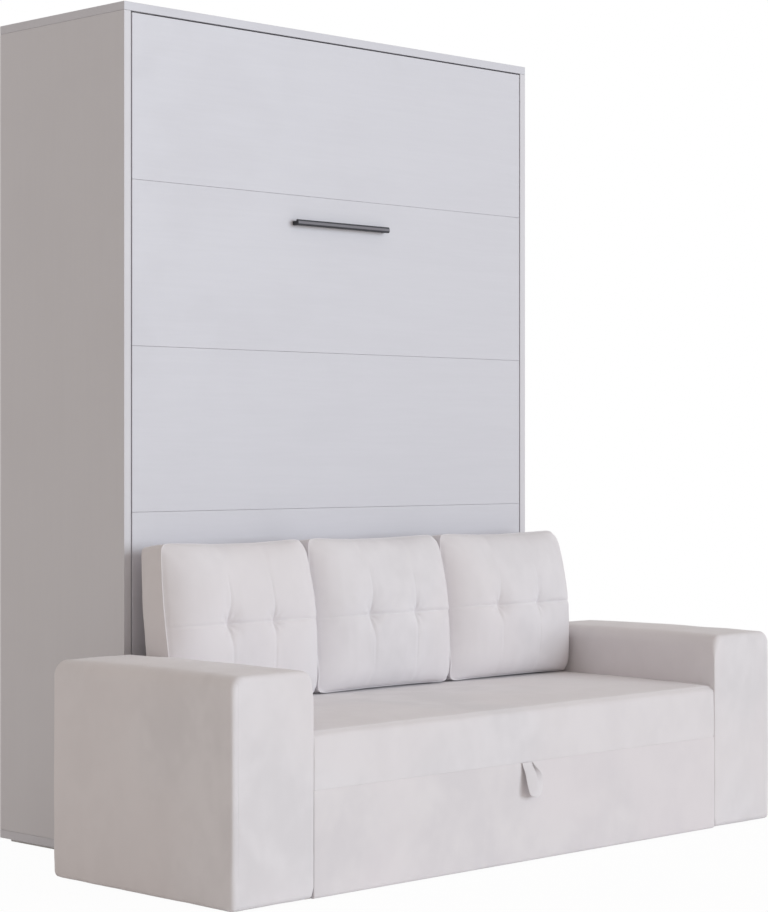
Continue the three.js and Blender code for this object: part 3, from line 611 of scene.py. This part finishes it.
def make_handle_post(word):
    node = f"handle_post_{word}"
    low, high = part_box(node)
    bm = box_form(low, high)
    ease_edges(bm, POST_EDGE, segments=3)
    place_piece(to_object(bm, f"{node}_satin", anthracite), "bed", "handle_metal", node)


# Armrests

ARM_CROWN = 0.007
ARM_CORNERS = (0.010, 0.010, 0.034, 0.034)
ARM_END_ROUND = 0.013
ARM_REAR_ROUND = 0.020
ARM_SEAM_IN = 0.016
ARM_CUT_STEP = 0.016
EDGE_FILL = 0.75


def arm_swell(p, out, side, seam, low, high):
    """How far the cover stands out at a point. The side towards the seat only gives way inwards."""
    swell = 0.0011 * lumps(p, 0.11, side + 2) + 0.0005 * lumps(p, 0.035, side + 5)
    if out.y < -0.9:
        swell -= 0.0008 * bump_over(p.x, seam, 0.001)
    if out.x * side < -0.5:
        return -0.25 * abs(swell)
    if abs(out.z) < 0.5:
        flat = [a for a in range(3) if abs(out[a]) < 0.5][:2]
        swell += 0.0016 * crown_share(p, low, high, flat)
    return swell


def fill_front_edge(v, p, inner, low, high):
    """Keeps the upright edge beside the seat nearly sharp, but for its top and its foot."""
    reach = ARM_END_ROUND + 1e-5
    if abs(p.x - inner) < reach and p.y < low.y + reach:
        below_top = eased((high.z - 0.036 - p.z) / 0.03)
        above_foot = eased((p.z - low.z - 0.011) / 0.01)
        fill = EDGE_FILL * below_top * above_foot
        v.co.x += (inner - p.x) * fill
        v.co.y += (low.y - p.y) * fill


def make_armrest(side, word):
    low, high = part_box(f"armrest_{word}")
    high = high - Vector((0, 0, ARM_CROWN))
    outer, inner = (low.x, high.x) if side < 0 else (high.x, low.x)
    seam = outer - side * ARM_SEAM_IN
    by_seam = (seam - 0.0015, seam, seam + 0.0015)
    extra = (by_seam, (), ())
    bm, normals = long_form(low, high, 1, ARM_CORNERS, ARM_END_ROUND, ARM_CUT_STEP, extra)
    middle, half = (low.z + high.z) / 2, (high.z - low.z) / 2
    for v in bm.verts:
        out, p = normals[v], v.co.copy()
        swell = arm_swell(p, out, side, seam, low, high)
        fill_front_edge(v, p, inner, low, high)
        v.co += out * swell
        if out.z > -0.5:
            v.co.z += ARM_CROWN * crown_share(p, low, high, (0, 1)) * max(0.0, out.z)
        past = (p.y - high.y + ARM_REAR_ROUND) / ARM_REAR_ROUND
        if past > 0:
            drawn_in = ARM_REAR_ROUND * (1 - math.sqrt(1 - min(1.0, past) ** 2))
            v.co.z -= (p.z - middle) / half * drawn_in
    smooth_all(bm)
    piece = to_object(bm, f"armrest_{word}_cover", fabric)
    place_piece(piece, "cabinet_and_sofa", "upholstery", f"armrest_{word}")


# Seat and drawer front, with the fine joint between them

SEAT_CROWN = 0.0025
SEAT_LOW, SEAT_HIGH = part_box("seat_cushion")
SEAT_HIGH = SEAT_HIGH - Vector((0, 0, SEAT_CROWN))
SEAT_CORNERS = (0.0002, 0.003, 0.028, 0.018)
SEAT_END_ROUND = 0.004
SEAT_CUT_STEP = 0.019
SEAT_EDGE_BAND = 0.25
SEAT_HALF_LENGTH = 0.76
FRONT_CORNERS = (0.007, 0.003, 0.0002, 0.002)
FRONT_END_ROUND = 0.0015
FRONT_CUT_STEP = 0.018
SIDE_GAP = 0.0003
BETWEEN_ARMS = (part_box("armrest_left")[1].x + SIDE_GAP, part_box("armrest_right")[0].x - SIDE_GAP)
SEAT_TO_JOINT = 0.0011
FRONT_TO_JOINT = 0.00138
JOINT_CUTS = (0.0014, 0.0028, 0.0045, 0.0065, 0.009)
JOINT_DEPTH = 0.0009
JOINT_WIDTH = 0.007


def seat_top(x, y):
    """Height of the seat's surface."""
    return SEAT_HIGH.z + SEAT_CROWN * crown_share(Vector((x, y, 0)), SEAT_LOW, SEAT_HIGH, (0, 1))


def seat_rise(p, low, high):
    """How far the top stands above the flat: a crown, drawn down at both ends and along the front."""
    near_end = min(p.x - low.x, high.x - p.x)
    edge = max(0.0, 1 - (p.y - low.y) / SEAT_EDGE_BAND)
    crown = SEAT_CROWN * crown_share(p, low, high, (0, 1))
    by_ends = 0.004 * math.exp(-near_end / 0.012)
    by_front = (0.005 * (1 - p.x / SEAT_HALF_LENGTH) / 2 + 0.006) * edge
    return crown - by_ends - by_front


def make_seat():
    low, high = SEAT_LOW.copy(), SEAT_HIGH.copy()
    low.z -= SEAT_TO_JOINT
    low.x, high.x = BETWEEN_ARMS
    extra = ((), (), [low.z + rise for rise in JOINT_CUTS])
    bm, normals = long_form(low, high, 0, SEAT_CORNERS, SEAT_END_ROUND, SEAT_CUT_STEP, extra)
    for v in bm.verts:
        out, p = normals[v], v.co.copy()
        if out.y < -0.3:
            v.co.y += JOINT_DEPTH * bump_over(p.z, low.z, JOINT_WIDTH)
        away = eased((p.z - low.z) / 0.03)
        v.co += out * (0.0010 * lumps(p, 0.16, 4) + 0.0004 * lumps(p, 0.045, 6)) * away
        if out.y < -0.5:
            v.co.y -= 0.0014 * crown_share(p, low, high, (0, 2))
            v.co.y += 0.004 * max(0.0, (p.z - low.z - 0.078) / 0.07) ** 2
        if p.z > high.z - 0.045:
            v.co.z += seat_rise(p, low, high) * max(0.0, out.z)
    smooth_all(bm)
    piece = to_object(bm, "seat_cover", fabric)
    place_piece(piece, "cabinet_and_sofa", "upholstery", "seat_cushion")


def make_drawer_front():
    low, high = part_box("drawer_front")
    high.z += FRONT_TO_JOINT
    low.x, high.x = BETWEEN_ARMS
    extra = ((), (), [high.z - fall for fall in JOINT_CUTS])
    bm, normals = long_form(low, high, 0, FRONT_CORNERS, FRONT_END_ROUND, FRONT_CUT_STEP, extra)
    for v in bm.verts:
        out, p = normals[v], v.co.copy()
        if out.y < -0.3:
            v.co.y += JOINT_DEPTH * bump_over(p.z, high.z, JOINT_WIDTH)
        if out.y < 0.2 and abs(out.z) < 0.7:
            crown = crown_share(p, low, high, (0, 2))
            away = min(1.0, 6 * crown) * eased((high.z - p.z) / 0.03)
            v.co += out * (0.0009 * lumps(p, 0.14, 11) + 0.0004 * lumps(p, 0.04, 12)) * away
            v.co.y -= 0.0012 * crown * max(0.0, -out.y)
    smooth_all(bm)
    piece = to_object(bm, "drawer_front_cover", front_fabric)
    place_piece(piece, "drawer", "upholstery", "drawer_front")


# Pull strap: a band bent into a U, its left leg in front of the right one, both sewn into the seam

# Outer and inner edge of the band from one end to the other, in millimetres: right of the middle,
# out from the face and up from the seam
STRAP_EDGES = [
    ((-38.5, 3, 0), (-5.5, 3, 0)), ((-37.3, 7, -13), (-3.2, 9, -12)), ((-36, 12, -26), (-1.3, 14, -23)),
    ((-36.5, 16, -40), (0, 18, -34)), ((-36.8, 20, -54.5), (-0.5, 21, -45)), ((-35, 25, -73.7), (0, 23, -55)),
    ((-28.4, 26.8, -82), (1, 23.5, -60)), ((-10.7, 25.5, -87.5), (2.5, 22, -62.5)),
    ((8.8, 20, -86), (4, 19.5, -61.5)), ((25.5, 13, -76), (4, 15, -56)), ((33.5, 9, -58), (3, 9, -47)),
    ((30.5, 11, -42.5), (2.5, 4, -38)), ((21, 14.5, -28.5), (2.5, 3, -28)), ((10, 15, -19), (1.5, 2.6, -19)),
    ((3, 12, -12), (0.5, 2.4, -11)), ((-1, 5, -1), (-1, 2.2, -1)),
]
STRAP_SEAM_RISE = 0.0012
STRAP_THICK = 0.0022
STRAP_EDGE = 0.0007
STRAP_CURL = 0.0013
MILLIMETRES = 1000


def through_points(points, t):
    """A smooth curve through every point, t counted in points."""
    i = min(int(t), len(points) - 2)
    f = t - i
    a, b = points[i], points[i + 1]
    before = points[i - 1] if i > 0 else a * 2 - b
    after = points[i + 2] if i + 2 < len(points) else b * 2 - a
    straight = a * 2 + (b - before) * f
    bend = (before * 2 - a * 5 + b * 4 - after) * f * f + (a * 3 - before - b * 3 + after) * f ** 3
    return (straight + bend) / 2


def strap_rows():
    """The band's outer edge and its inner edge, as points on the drawer's front."""
    low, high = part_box("drawer_front")
    seam = Vector((0, low.y, high.z + STRAP_SEAM_RISE))
    rows = zip(*STRAP_EDGES)
    return [[seam + Vector((right, -out, up)) / MILLIMETRES for right, out, up in row] for row in rows]


def make_pull_strap():
    outer_row, inner_row = strap_rows()
    bm = bmesh.new()
    bmesh.ops.create_grid(bm, x_segments=90, y_segments=10, size=0.5)
    for v in bm.verts:
        t = (v.co.x + 0.5) * (len(STRAP_EDGES) - 1)
        outer, inner = through_points(outer_row, t), through_points(inner_row, t)
        share = 0.5 - v.co.y
        curl = STRAP_CURL * (1 - (2 * share - 1) ** 2) * math.sin(math.pi * (v.co.x + 0.5))
        v.co = outer.lerp(inner, share) + Vector((0, -curl, 0))
    bmesh.ops.recalc_face_normals(bm, faces=bm.faces)
    bmesh.ops.solidify(bm, geom=list(bm.faces), thickness=STRAP_THICK)
    bmesh.ops.remove_doubles(bm, verts=bm.verts, dist=1e-6)
    rim = [e for e in bm.edges if e.is_manifold and e.calc_face_angle(0.0) > 0.9]
    bmesh.ops.bevel(bm, geom=rim, offset=STRAP_EDGE, offset_type="OFFSET", segments=2, profile=0.5,
                    affect="EDGES", material=-1)
    bmesh.ops.recalc_face_normals(bm, faces=bm.faces)
    smooth_all(bm)
    place_piece(to_object(bm, "pull_strap_band", fabric), "drawer", "upholstery", "pull_strap")


# Back cushions

# Half the width, half the height, half the distance between the two seams, and how far the cover
# stands out past the seams
HALF_WIDTH = 0.249
HALF_HEIGHT = 0.201
HALF_SEAM = 0.034
FRONT_CROWN = 0.067
BACK_CROWN = 0.058
LEAN = math.radians(7)
FROM_FACADE = 0.108
SIDE_LIMIT = 0.2513
REAR_GAP = 0.0006
SEAM_OUT = 0.008
# Of each cushion: the left tuft, the right tuft and their height, from the middle
TUFTS = {
    "left": (-0.083, 0.073, -0.010),
    "middle": (-0.083, 0.090, -0.011),
    "right": (-0.080, 0.087, -0.007),
}
# How deep the channels of each cushion are sewn
SEWN = {"left": 1.0, "middle": 0.9, "right": 0.6}
BESIDE_TUFT = (-0.014, -0.009, -0.006, -0.003, 0.0, 0.003, 0.006, 0.009, 0.014)
UPPER_CORNER = 26
LOWER_CORNER = 30
TAPER_LEFT = 0.034
TAPER_RIGHT = 0.022
TOP_SAG = 0.018
PIPING_RADIUS = 0.0018
FILLING_FRAMES = 20
FILLING = {
    "vertex_group_mass": "tufts", "quality": 6, "mass": 0.25, "tension_stiffness": 25,
    "compression_stiffness": 25, "shear_stiffness": 8, "bending_stiffness": 0.6, "shrink_min": -0.03,
    "use_pressure": True, "uniform_pressure_force": 4.0,
}
SMOOTHING_ROUNDS = 6
SLOT_HEIGHT = 0.005
CHANNEL_DEPTH, CHANNEL_WIDTH = 0.0024, 0.003
HOLLOW_DEPTH, HOLLOW_WIDTH = 0.0010, 0.018
PIT_DEPTH = 0.006
FOLD_DEPTH = 0.0018
FOLD_COUNT = 8
SEAT_CLEARANCE = 0.0004
PIPING_CLEARANCE = 0.0003


def crown_rise(u, t, w):
    """How far the cover stands out past the seams. The front leans to its right and sags to its bottom."""
    if t > 0:
        return BACK_CROWN * (max(0.0, 1 - abs(u) ** 3.4) * max(0.0, 1 - abs(w) ** 3.4)) ** 0.7
    if u < 0:
        across = 0.5 * (1 - abs(u) ** 8) + 0.5 * (1 - abs(u) ** 3)
    else:
        across = math.sqrt(max(0.0, 1 - u ** 10))
    if w > 0:
        upward = 0.55 * math.sqrt(max(0.0, 1 - w ** 14)) + 0.45 * (1 - w ** 1.5)
    else:
        upward = 0.5 * math.sqrt(max(0.0, 1 - w ** 10)) + 0.5 * (1 - abs(w) ** 1.2)
    return (FRONT_CROWN - seam_shift(u, w)) * across * upward


def seam_shift(u, w):
    """How much further forward the front seam runs at the cushion's left than at its right."""
    to_bottom = 1 + 0.9 * max(0.0, 0.5 - w)
    at_foot = 1 - 0.6 * eased((-w - 0.7) / 0.3)
    return SEAM_OUT * (1 - u) / 2 * to_bottom * at_foot


def tuft_offset(x, z, tufts):
    """From the nearest tuft: how far to the right and how far up. The channels lean in above and below."""
    left, right, height = tufts
    lean = 0.006 * eased((abs(z - height) - 0.01) / 0.06)
    return min((x - left - lean, x - right + lean), key=abs), z - height


def seam_rings(bm):
    """The points of the front seam and of the rear seam, each in order round the cushion."""
    bm.verts.index_update()
    rings = []
    for side in (-1, 1):
        ring = [v for v in bm.verts if v.co.y * side > 0.999 and max(abs(v.co.x), abs(v.co.z)) > 0.999]
        rings.append([v.index for v in sorted(ring, key=lambda v: math.atan2(v.co.z, v.co.x))])
    return rings


def make_piping(rings, body, name):
    """Thin cord sewn into the seams, thinnest along the top."""
    line = bpy.data.curves.new(name, "CURVE")
    line.dimensions = "3D"
    line.bevel_depth = PIPING_RADIUS
    line.bevel_resolution = 2
    line.resolution_u = 2
    for ring in rings:
        spline = line.splines.new("NURBS")
        spline.points.add(len(ring) - 1)
        top = max(place.z for place in ring)
        for point, place in zip(spline.points, ring):
            point.co = (*place, 1.0)
            point.radius = 0.75 + 0.4 * eased((top - 0.08 - place.z) / 0.1)
        spline.use_cyclic_u = True
        spline.order_u = 4
    sketch = new_object(f"{name}_sketch", line)
    depsgraph = bpy.context.evaluated_depsgraph_get()
    bm = bmesh.new()
    bm.from_mesh(sketch.evaluated_get(depsgraph).to_mesh())
    bpy.data.objects.remove(sketch)
    bmesh.ops.remove_doubles(bm, verts=bm.verts, dist=1e-6)
    bmesh.ops.recalc_face_normals(bm, faces=bm.faces)
    smooth_all(bm)
    place_piece(to_object(bm, name, fabric), body, "upholstery")


def cut_cushion(bm, half, tufts):
    """Cuts a cube from -1 to 1: close at the tufts and the seams, even between them."""
    cuts_x = [(place + d) / half.x for place in tufts[:2] for d in BESIDE_TUFT]
    cuts_z = [(tufts[2] + d) / half.z for d in BESIDE_TUFT]
    even_x = [i / 27 for i in range(-26, 27) if all(abs(i / 27 - c) > 0.01 for c in cuts_x)]
    even_z = [i / 22 for i in range(-21, 22) if all(abs(i / 22 - c) > 0.012 for c in cuts_z)]
    slice_at(bm, 0, sorted(even_x + cuts_x + [-0.99, -0.975, 0.975, 0.99]))
    slice_at(bm, 2, sorted(even_z + cuts_z + [-0.988, -0.97, 0.97, 0.988]))
    slice_at(bm, 1, [-0.965, -0.93, -0.87, -0.7, -0.4, -0.1, 0.2, 0.5, 0.8, 0.93])


def outline_place(u, w, size, half):
    """Round corners, a little fuller at half height, narrower to the top, and a top edge that sags."""
    corner = UPPER_CORNER if w > 0 else LOWER_CORNER
    powers = max(1.0, (abs(u) / size) ** corner + (abs(w) / size) ** corner)
    pull = 1 + (powers ** (-1 / corner) - 1) * size ** 3
    taper = TAPER_LEFT if u < 0 else TAPER_RIGHT
    fuller = 1 + 0.010 * (1 - w * w) * size ** 4 - taper * max(0.0, w) ** 1.4
    sag = 1 - TOP_SAG * (1 - u * u) ** 1.2 * size ** 4 * (w > 0)
    return half.x * u * pull * fuller, half.z * w * pull * sag


def cushion_shape(seed, tufts):
    """Boxed cushion in its own frame: crowned front and back, an upright band between two seams."""
    half = Vector((HALF_WIDTH, HALF_SEAM, HALF_HEIGHT))
    bm = box_form((-1, -1, -1), (1, 1, 1))
    cut_cushion(bm, half, tufts)
    rings = seam_rings(bm)
    for v in bm.verts:
        u, t, w = v.co
        size = max(abs(u), abs(w), 1e-6)
        x, z = outline_place(u, w, size, half)
        if abs(t) < 0.999:
            bulge = abs(0.0015 * (1 - t * t) - 0.0010 * bump_over(abs(t), 0.94, 0.05)) * size ** 4
            y = half.y * t - seam_shift(u, w) * max(0.0, -t)
            v.co = (x + math.copysign(bulge, u), y, z + math.copysign(bulge, w))
            continue
        unevenness = 1 + 0.03 * lumps((x, z, t), 0.12, seed)
        y = half.y + crown_rise(u, t, w) * unevenness + seam_shift(u, w) * (t < 0)
        v.co = (x, math.copysign(y, t), z)
    return bm, rings


def pin_tufts(piece, tufts):
    """Holds the cover at its tufts and in the middle of its back."""
    group = piece.vertex_groups.new(name="tufts")
    for v in piece.data.vertices:
        at_tuft = v.co.y < 0 and math.hypot(*tuft_offset(v.co.x, v.co.z, tufts)) < 0.012
        at_back = v.co.y > 0 and math.hypot(v.co.x, v.co.z) < 0.05
        if at_tuft or at_back:
            group.add([v.index], 1.0, "REPLACE")


def add_filling(piece):
    cloth = piece.modifiers.new("filling", "CLOTH")
    for key, value in FILLING.items():
        setattr(cloth.settings, key, value)
    cloth.settings.effector_weights.gravity = 0.0
    cloth.collision_settings.use_collision = False
    cloth.point_cache.frame_start = 1
    cloth.point_cache.frame_end = FILLING_FRAMES
    return cloth


def allowed_move(place):
    """The front may swell in its middle, and everything else stays nearly where it is."""
    if place.y >= -HALF_SEAM - 0.001:
        return 0.0015
    across = max(0.0, 1 - (place.x / HALF_WIDTH) ** 4)
    upward = max(0.0, 1 - (place.z / HALF_HEIGHT) ** 4)
    return 0.001 + 0.011 * (across * upward)


def smoothed_moves(moves, edges):
    """Every move becomes the mean of itself and its neighbours', a few times over."""
    links = [[] for _ in moves]
    for edge in edges:
        first, second = edge.vertices
        links[first].append(second)
        links[second].append(first)
    for _ in range(SMOOTHING_ROUNDS):
        totals = [move + sum((moves[i] for i in near), Vector()) for move, near in zip(moves, links)]
        moves = [total / (len(near) + 1) for total, near in zip(totals, links)]
    return moves


def inflate(piece, tufts):
    """Lets the filling press the cover out between its tufts."""
    pin_tufts(piece, tufts)
    cloth = add_filling(piece)
    scene = bpy.context.scene
    for moment in range(1, FILLING_FRAMES + 1):
        scene.frame_set(moment)
    depsgraph = bpy.context.evaluated_depsgraph_get()
    pressed = bpy.data.meshes.new_from_object(piece.evaluated_get(depsgraph))
    piece.modifiers.remove(cloth)
    piece.vertex_groups.clear()
    moves = []
    for v, start in zip(pressed.vertices, piece.data.vertices):
        move = v.co - start.co
        moves.append(move * min(1.0, allowed_move(start.co) / max(move.length, 1e-9)))
    moves = smoothed_moves(moves, pressed.edges)
    for v, start, move in zip(pressed.vertices, piece.data.vertices, moves):
        v.co = start.co + move
    piece.data = pressed
    scene.frame_set(1)


def sew_cushion(bm, seed, tufts, sewn):
    """Draws in the channels, tufts and seams after the filling has pressed the cover out."""
    for v in bm.verts:
        p = v.co
        if p.y >= -HALF_SEAM - 0.002:
            continue
        inward = 1.0 - math.exp(-(-p.y - HALF_SEAM) / 0.02)
        wander = 0.0015 * lumps(p, 0.05, seed + 30)
        near_x, level = (offset + wander for offset in tuft_offset(p.x, p.z, tufts))
        fading = sewn * eased((0.14 - p.z) / 0.09) * eased((p.z + 0.175) / 0.06)
        ending = (0.6 + 0.4 * sewn) * eased((0.225 - abs(p.x)) / 0.10)
        reach = eased((0.247 - abs(p.x)) / 0.03)
        line = max(bump_over(near_x, 0, CHANNEL_WIDTH) * fading, bump_over(level, 0, CHANNEL_WIDTH) * reach)
        broad = max(bump_over(near_x, 0, HOLLOW_WIDTH) * fading, bump_over(level, 0, HOLLOW_WIDTH) * ending)
        channels = CHANNEL_DEPTH * line + HOLLOW_DEPTH * broad
        turn = math.atan2(level, near_x)
        ring = bump_over(math.hypot(near_x, level), 0.021, 0.013)
        folds = FOLD_DEPTH * math.sin(turn * FOLD_COUNT + seed) * ring
        tall = math.hypot(near_x, level * 0.75)
        pit = PIT_DEPTH * bump_over(tall, 0, 0.024) + PIT_DEPTH * bump_over(tall, 0, 0.010)
        streaks = 0.0006 * noise.noise(Vector((p.x * 60, seed * 3.0, p.z * 9)))
        p.y += (channels + pit + folds + streaks) * inward
        from_seam = HALF_WIDTH - abs(p.x)
        ripple = noise.noise(Vector((p.x * 9 + seed, seed, p.z * 75)))
        p.y += 0.0014 * ripple * bump_over(from_seam, 0.016, 0.014)


def settle_cushion(bm, centre):
    """Leans the cushion back, brings it to its place and rests its underside on the seat."""
    front_seam = centre.y - HALF_SEAM
    lowness = [eased((-v.co.z / HALF_HEIGHT - 0.35) / 0.65) for v in bm.verts]
    lifted = [-HALF_HEIGHT * math.cos(LEAN) - v.co.y * math.sin(LEAN) + centre.z for v in bm.verts]
    bm.transform(Matrix.Translation(centre) @ Matrix.Rotation(-LEAN, 4, "X"))
    for v, share, base in zip(bm.verts, lowness, lifted):
        under = seat_top(v.co.x, v.co.y) + SEAT_CLEARANCE
        slot = SLOT_HEIGHT * eased((front_seam - v.co.y) / 0.02)
        v.co.z -= share * max(0.0, base - under - slot)
        v.co.x = min(max(v.co.x, centre.x - SIDE_LIMIT), centre.x + SIDE_LIMIT)
        v.co.y = min(v.co.y, FRONT - REAR_GAP)
        v.co.z = max(v.co.z, under)


def piping_places(bm, rings, centre):
    """The seams' points, kept clear of the facade, the seat and the neighbours."""
    limit = SIDE_LIMIT - PIPING_RADIUS
    bm.verts.ensure_lookup_table()
    cords = []
    for ring in rings:
        places = [bm.verts[i].co.copy() for i in ring]
        for place in places:
            place.x = min(max(place.x, centre.x - limit), centre.x + limit)
            place.y = min(place.y, FRONT - REAR_GAP - PIPING_RADIUS)
            place.z = max(place.z, seat_top(place.x, place.y) + PIPING_CLEARANCE + PIPING_RADIUS)
        cords.append(places)
    return cords


def make_cushion(seed, word):
    tufts = TUFTS[word]
    bm, rings = cushion_shape(seed, tufts)
    smooth_all(bm)
    piece = to_object(bm, f"back_cushion_{word}_cover", fabric)
    inflate(piece, tufts)
    low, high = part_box(f"back_cushion_{word}")
    foot = HALF_HEIGHT * math.cos(LEAN) + HALF_SEAM * math.sin(LEAN)
    centre = Vector(((low.x + high.x) / 2, FRONT - FROM_FACADE, low.z + foot))
    bm = bmesh.new()
    bm.from_mesh(piece.data)
    sew_cushion(bm, seed, tufts, SEWN[word])
    settle_cushion(bm, centre)
    cords = piping_places(bm, rings, centre)
    smooth_all(bm)
    bm.to_mesh(piece.data)
    bm.free()
    make_piping(cords, f"back_cushion_{word}", f"back_cushion_{word}_piping")
    softer = piece.modifiers.new("softer", "SUBSURF")
    softer.levels = softer.render_levels = 1
    place_piece(piece, f"back_cushion_{word}", "upholstery", f"back_cushion_{word}")


# Mattress

MATTRESS_RADII = (0.03, 0.024, 0.03)
MATTRESS_CUT_STEP = 0.022
MATTRESS_PIPING_IN = 0.026
BESIDE_PIPING = (-0.004, -0.002, 0.0, 0.002, 0.004)
QUILT_PITCH = 0.155
QUILT_DEPTH = 0.006
BELT_EDGE = 0.0006


def make_mattress():
    """Quilted on both faces, with a piping round each of them."""
    low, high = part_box("mattress")
    piping = [low.y + MATTRESS_PIPING_IN, high.y - MATTRESS_PIPING_IN]
    extra = ((), [y + d for y in piping for d in BESIDE_PIPING], ())
    bm, normals = padded_form(low, high, MATTRESS_RADII, MATTRESS_CUT_STEP, extra)
    for v in bm.verts:
        out, p = normals[v], v.co.copy()
        if abs(out.y) > 0.5:
            across, up = p.x / QUILT_PITCH, p.z / QUILT_PITCH
            quilt = abs(math.sin(math.pi * (across + up))) * abs(math.sin(math.pi * (across - up)))
            depth = QUILT_DEPTH * (1 - quilt ** 0.5) * crown_share(p, low, high, (0, 2)) ** 0.25
            v.co.y -= math.copysign(depth, out.y)
            continue
        sideways = Vector((out.x, 0, out.z))
        for y in piping:
            if abs(p.y - y) < 0.0045:
                v.co += sideways * 0.0006
            else:
                v.co -= sideways * 0.0009 * bump_over(p.y, y, 0.012)
        v.co += sideways * 0.0005 * (lumps(p, 0.08, 21) - 1)
    smooth_all(bm)
    piece = to_object(bm, "mattress_cover", ticking)
    place_piece(piece, "bed", "ticking", "mattress")
    eased_copy("mattress_strap", BELT_EDGE, belt_weave, "webbing")


# Floor, light and camera

ROOM_COLOUR = (1.0, 0.92, 0.852, 1)
ROOM_STRENGTH = 0.57
WINDOW_COLOUR = (0.822, 0.905, 0.985)
WINDOW_STRENGTH = 1.71
WINDOW_WIDTH = math.radians(35)
TO_WINDOW = Vector((0.42, -1.0, 0.15))
FLOOR_SIZE = 14.0
SENSOR = 36.0
PICTURE_HEIGHT = 912
FOCAL_PIXELS = 2434.1
SHIFT_PIXELS = (-0.35, -5.4)
CAMERA_PLACE = (-4.6416, -4.8367 + FRONT, 1.0499)
CAMERA_FORWARD = Vector((0.70525, 0.70896, 0.0))


def seen_directly(tree):
    """1 for the camera, and in or through anything shiny or clear."""
    path = wire(tree, "ShaderNodeLightPath").outputs
    direct = sums(tree, "MAXIMUM", path["Is Camera Ray"], path["Is Glossy Ray"])
    return sums(tree, "MAXIMUM", direct, path["Is Transmission Ray"])


def make_floor():
    """Where it is seen, the floor goes nearly white and keeps part of its shade near the bed."""
    bm = bmesh.new()
    bmesh.ops.create_grid(bm, x_segments=1, y_segments=1, size=FLOOR_SIZE)
    material, tree, shader = start_material("pale_floor", Roughness=0.9, Base_Color=(0.9, 0.9, 0.9, 1))
    place = wire(tree, "ShaderNodeTexCoord").outputs["Object"]
    distance = wire(tree, "ShaderNodeVectorMath", {0: place}, operation="LENGTH").outputs["Value"]
    share = ramped(tree, distance, 1.6, 4.0, 0.965, 1.0)
    glow = wire(tree, "ShaderNodeEmission", {"Color": (1, 1, 1, 1), "Strength": 1.0}).outputs[0]
    factor = sums(tree, "MULTIPLY", seen_directly(tree), share)
    mixed = wire(tree, "ShaderNodeMixShader", {0: factor, 1: shader.outputs[0], 2: glow}).outputs[0]
    tree.links.new(mixed, tree.nodes["Material Output"].inputs["Surface"])
    to_object(bm, "floor", material)


def make_room_light():
    """A warm room all round, seen as plain white."""
    world = bpy.data.worlds.new("studio")
    bpy.context.scene.world = world
    world.use_nodes = True
    tree = world.node_tree
    seen = seen_directly(tree)
    inputs = {"Color": ROOM_COLOUR, "Strength": ROOM_STRENGTH}
    room = wire(tree, "ShaderNodeBackground", inputs).outputs[0]
    white = wire(tree, "ShaderNodeBackground", {"Color": (1, 1, 1, 1), "Strength": 1.0}).outputs[0]
    mixed = wire(tree, "ShaderNodeMixShader", {0: seen, 1: room, 2: white}).outputs[0]
    tree.links.new(mixed, tree.nodes["World Output"].inputs["Surface"])


def make_window_light():
    lamp = bpy.data.lights.new("window_side", "SUN")
    lamp.energy = WINDOW_STRENGTH
    lamp.angle = WINDOW_WIDTH
    lamp.color = WINDOW_COLOUR
    key = new_object("window_side", lamp)
    key.rotation_euler = TO_WINDOW.to_track_quat("Z", "Y").to_euler()


def make_camera():
    """The photo's own view, found from its two vanishing points."""
    lens = bpy.data.cameras.new("photo_view")
    lens.sensor_width = SENSOR
    lens.lens = FOCAL_PIXELS * SENSOR / PICTURE_HEIGHT
    lens.shift_x = SHIFT_PIXELS[0] / PICTURE_HEIGHT
    lens.shift_y = SHIFT_PIXELS[1] / PICTURE_HEIGHT
    lens.clip_end = 100
    camera = new_object("photo_view", lens)
    camera.rotation_euler = CAMERA_FORWARD.to_track_quat("-Z", "Y").to_euler()
    camera.location = CAMERA_PLACE
    bpy.context.scene.camera = camera


dress_boards()
paint_hardware()
make_handle_bar()
for _, word in SIDES:
    make_handle_post(word)
for side, word in SIDES:
    make_armrest(side, word)
make_seat()
make_drawer_front()
make_pull_strap()
for seed, word in enumerate(("left", "middle", "right"), start=1):
    make_cushion(seed, word)
make_mattress()
make_floor()
make_room_light()
make_window_light()
make_camera()
bpy.context.scene.view_settings.view_transform = "Standard"
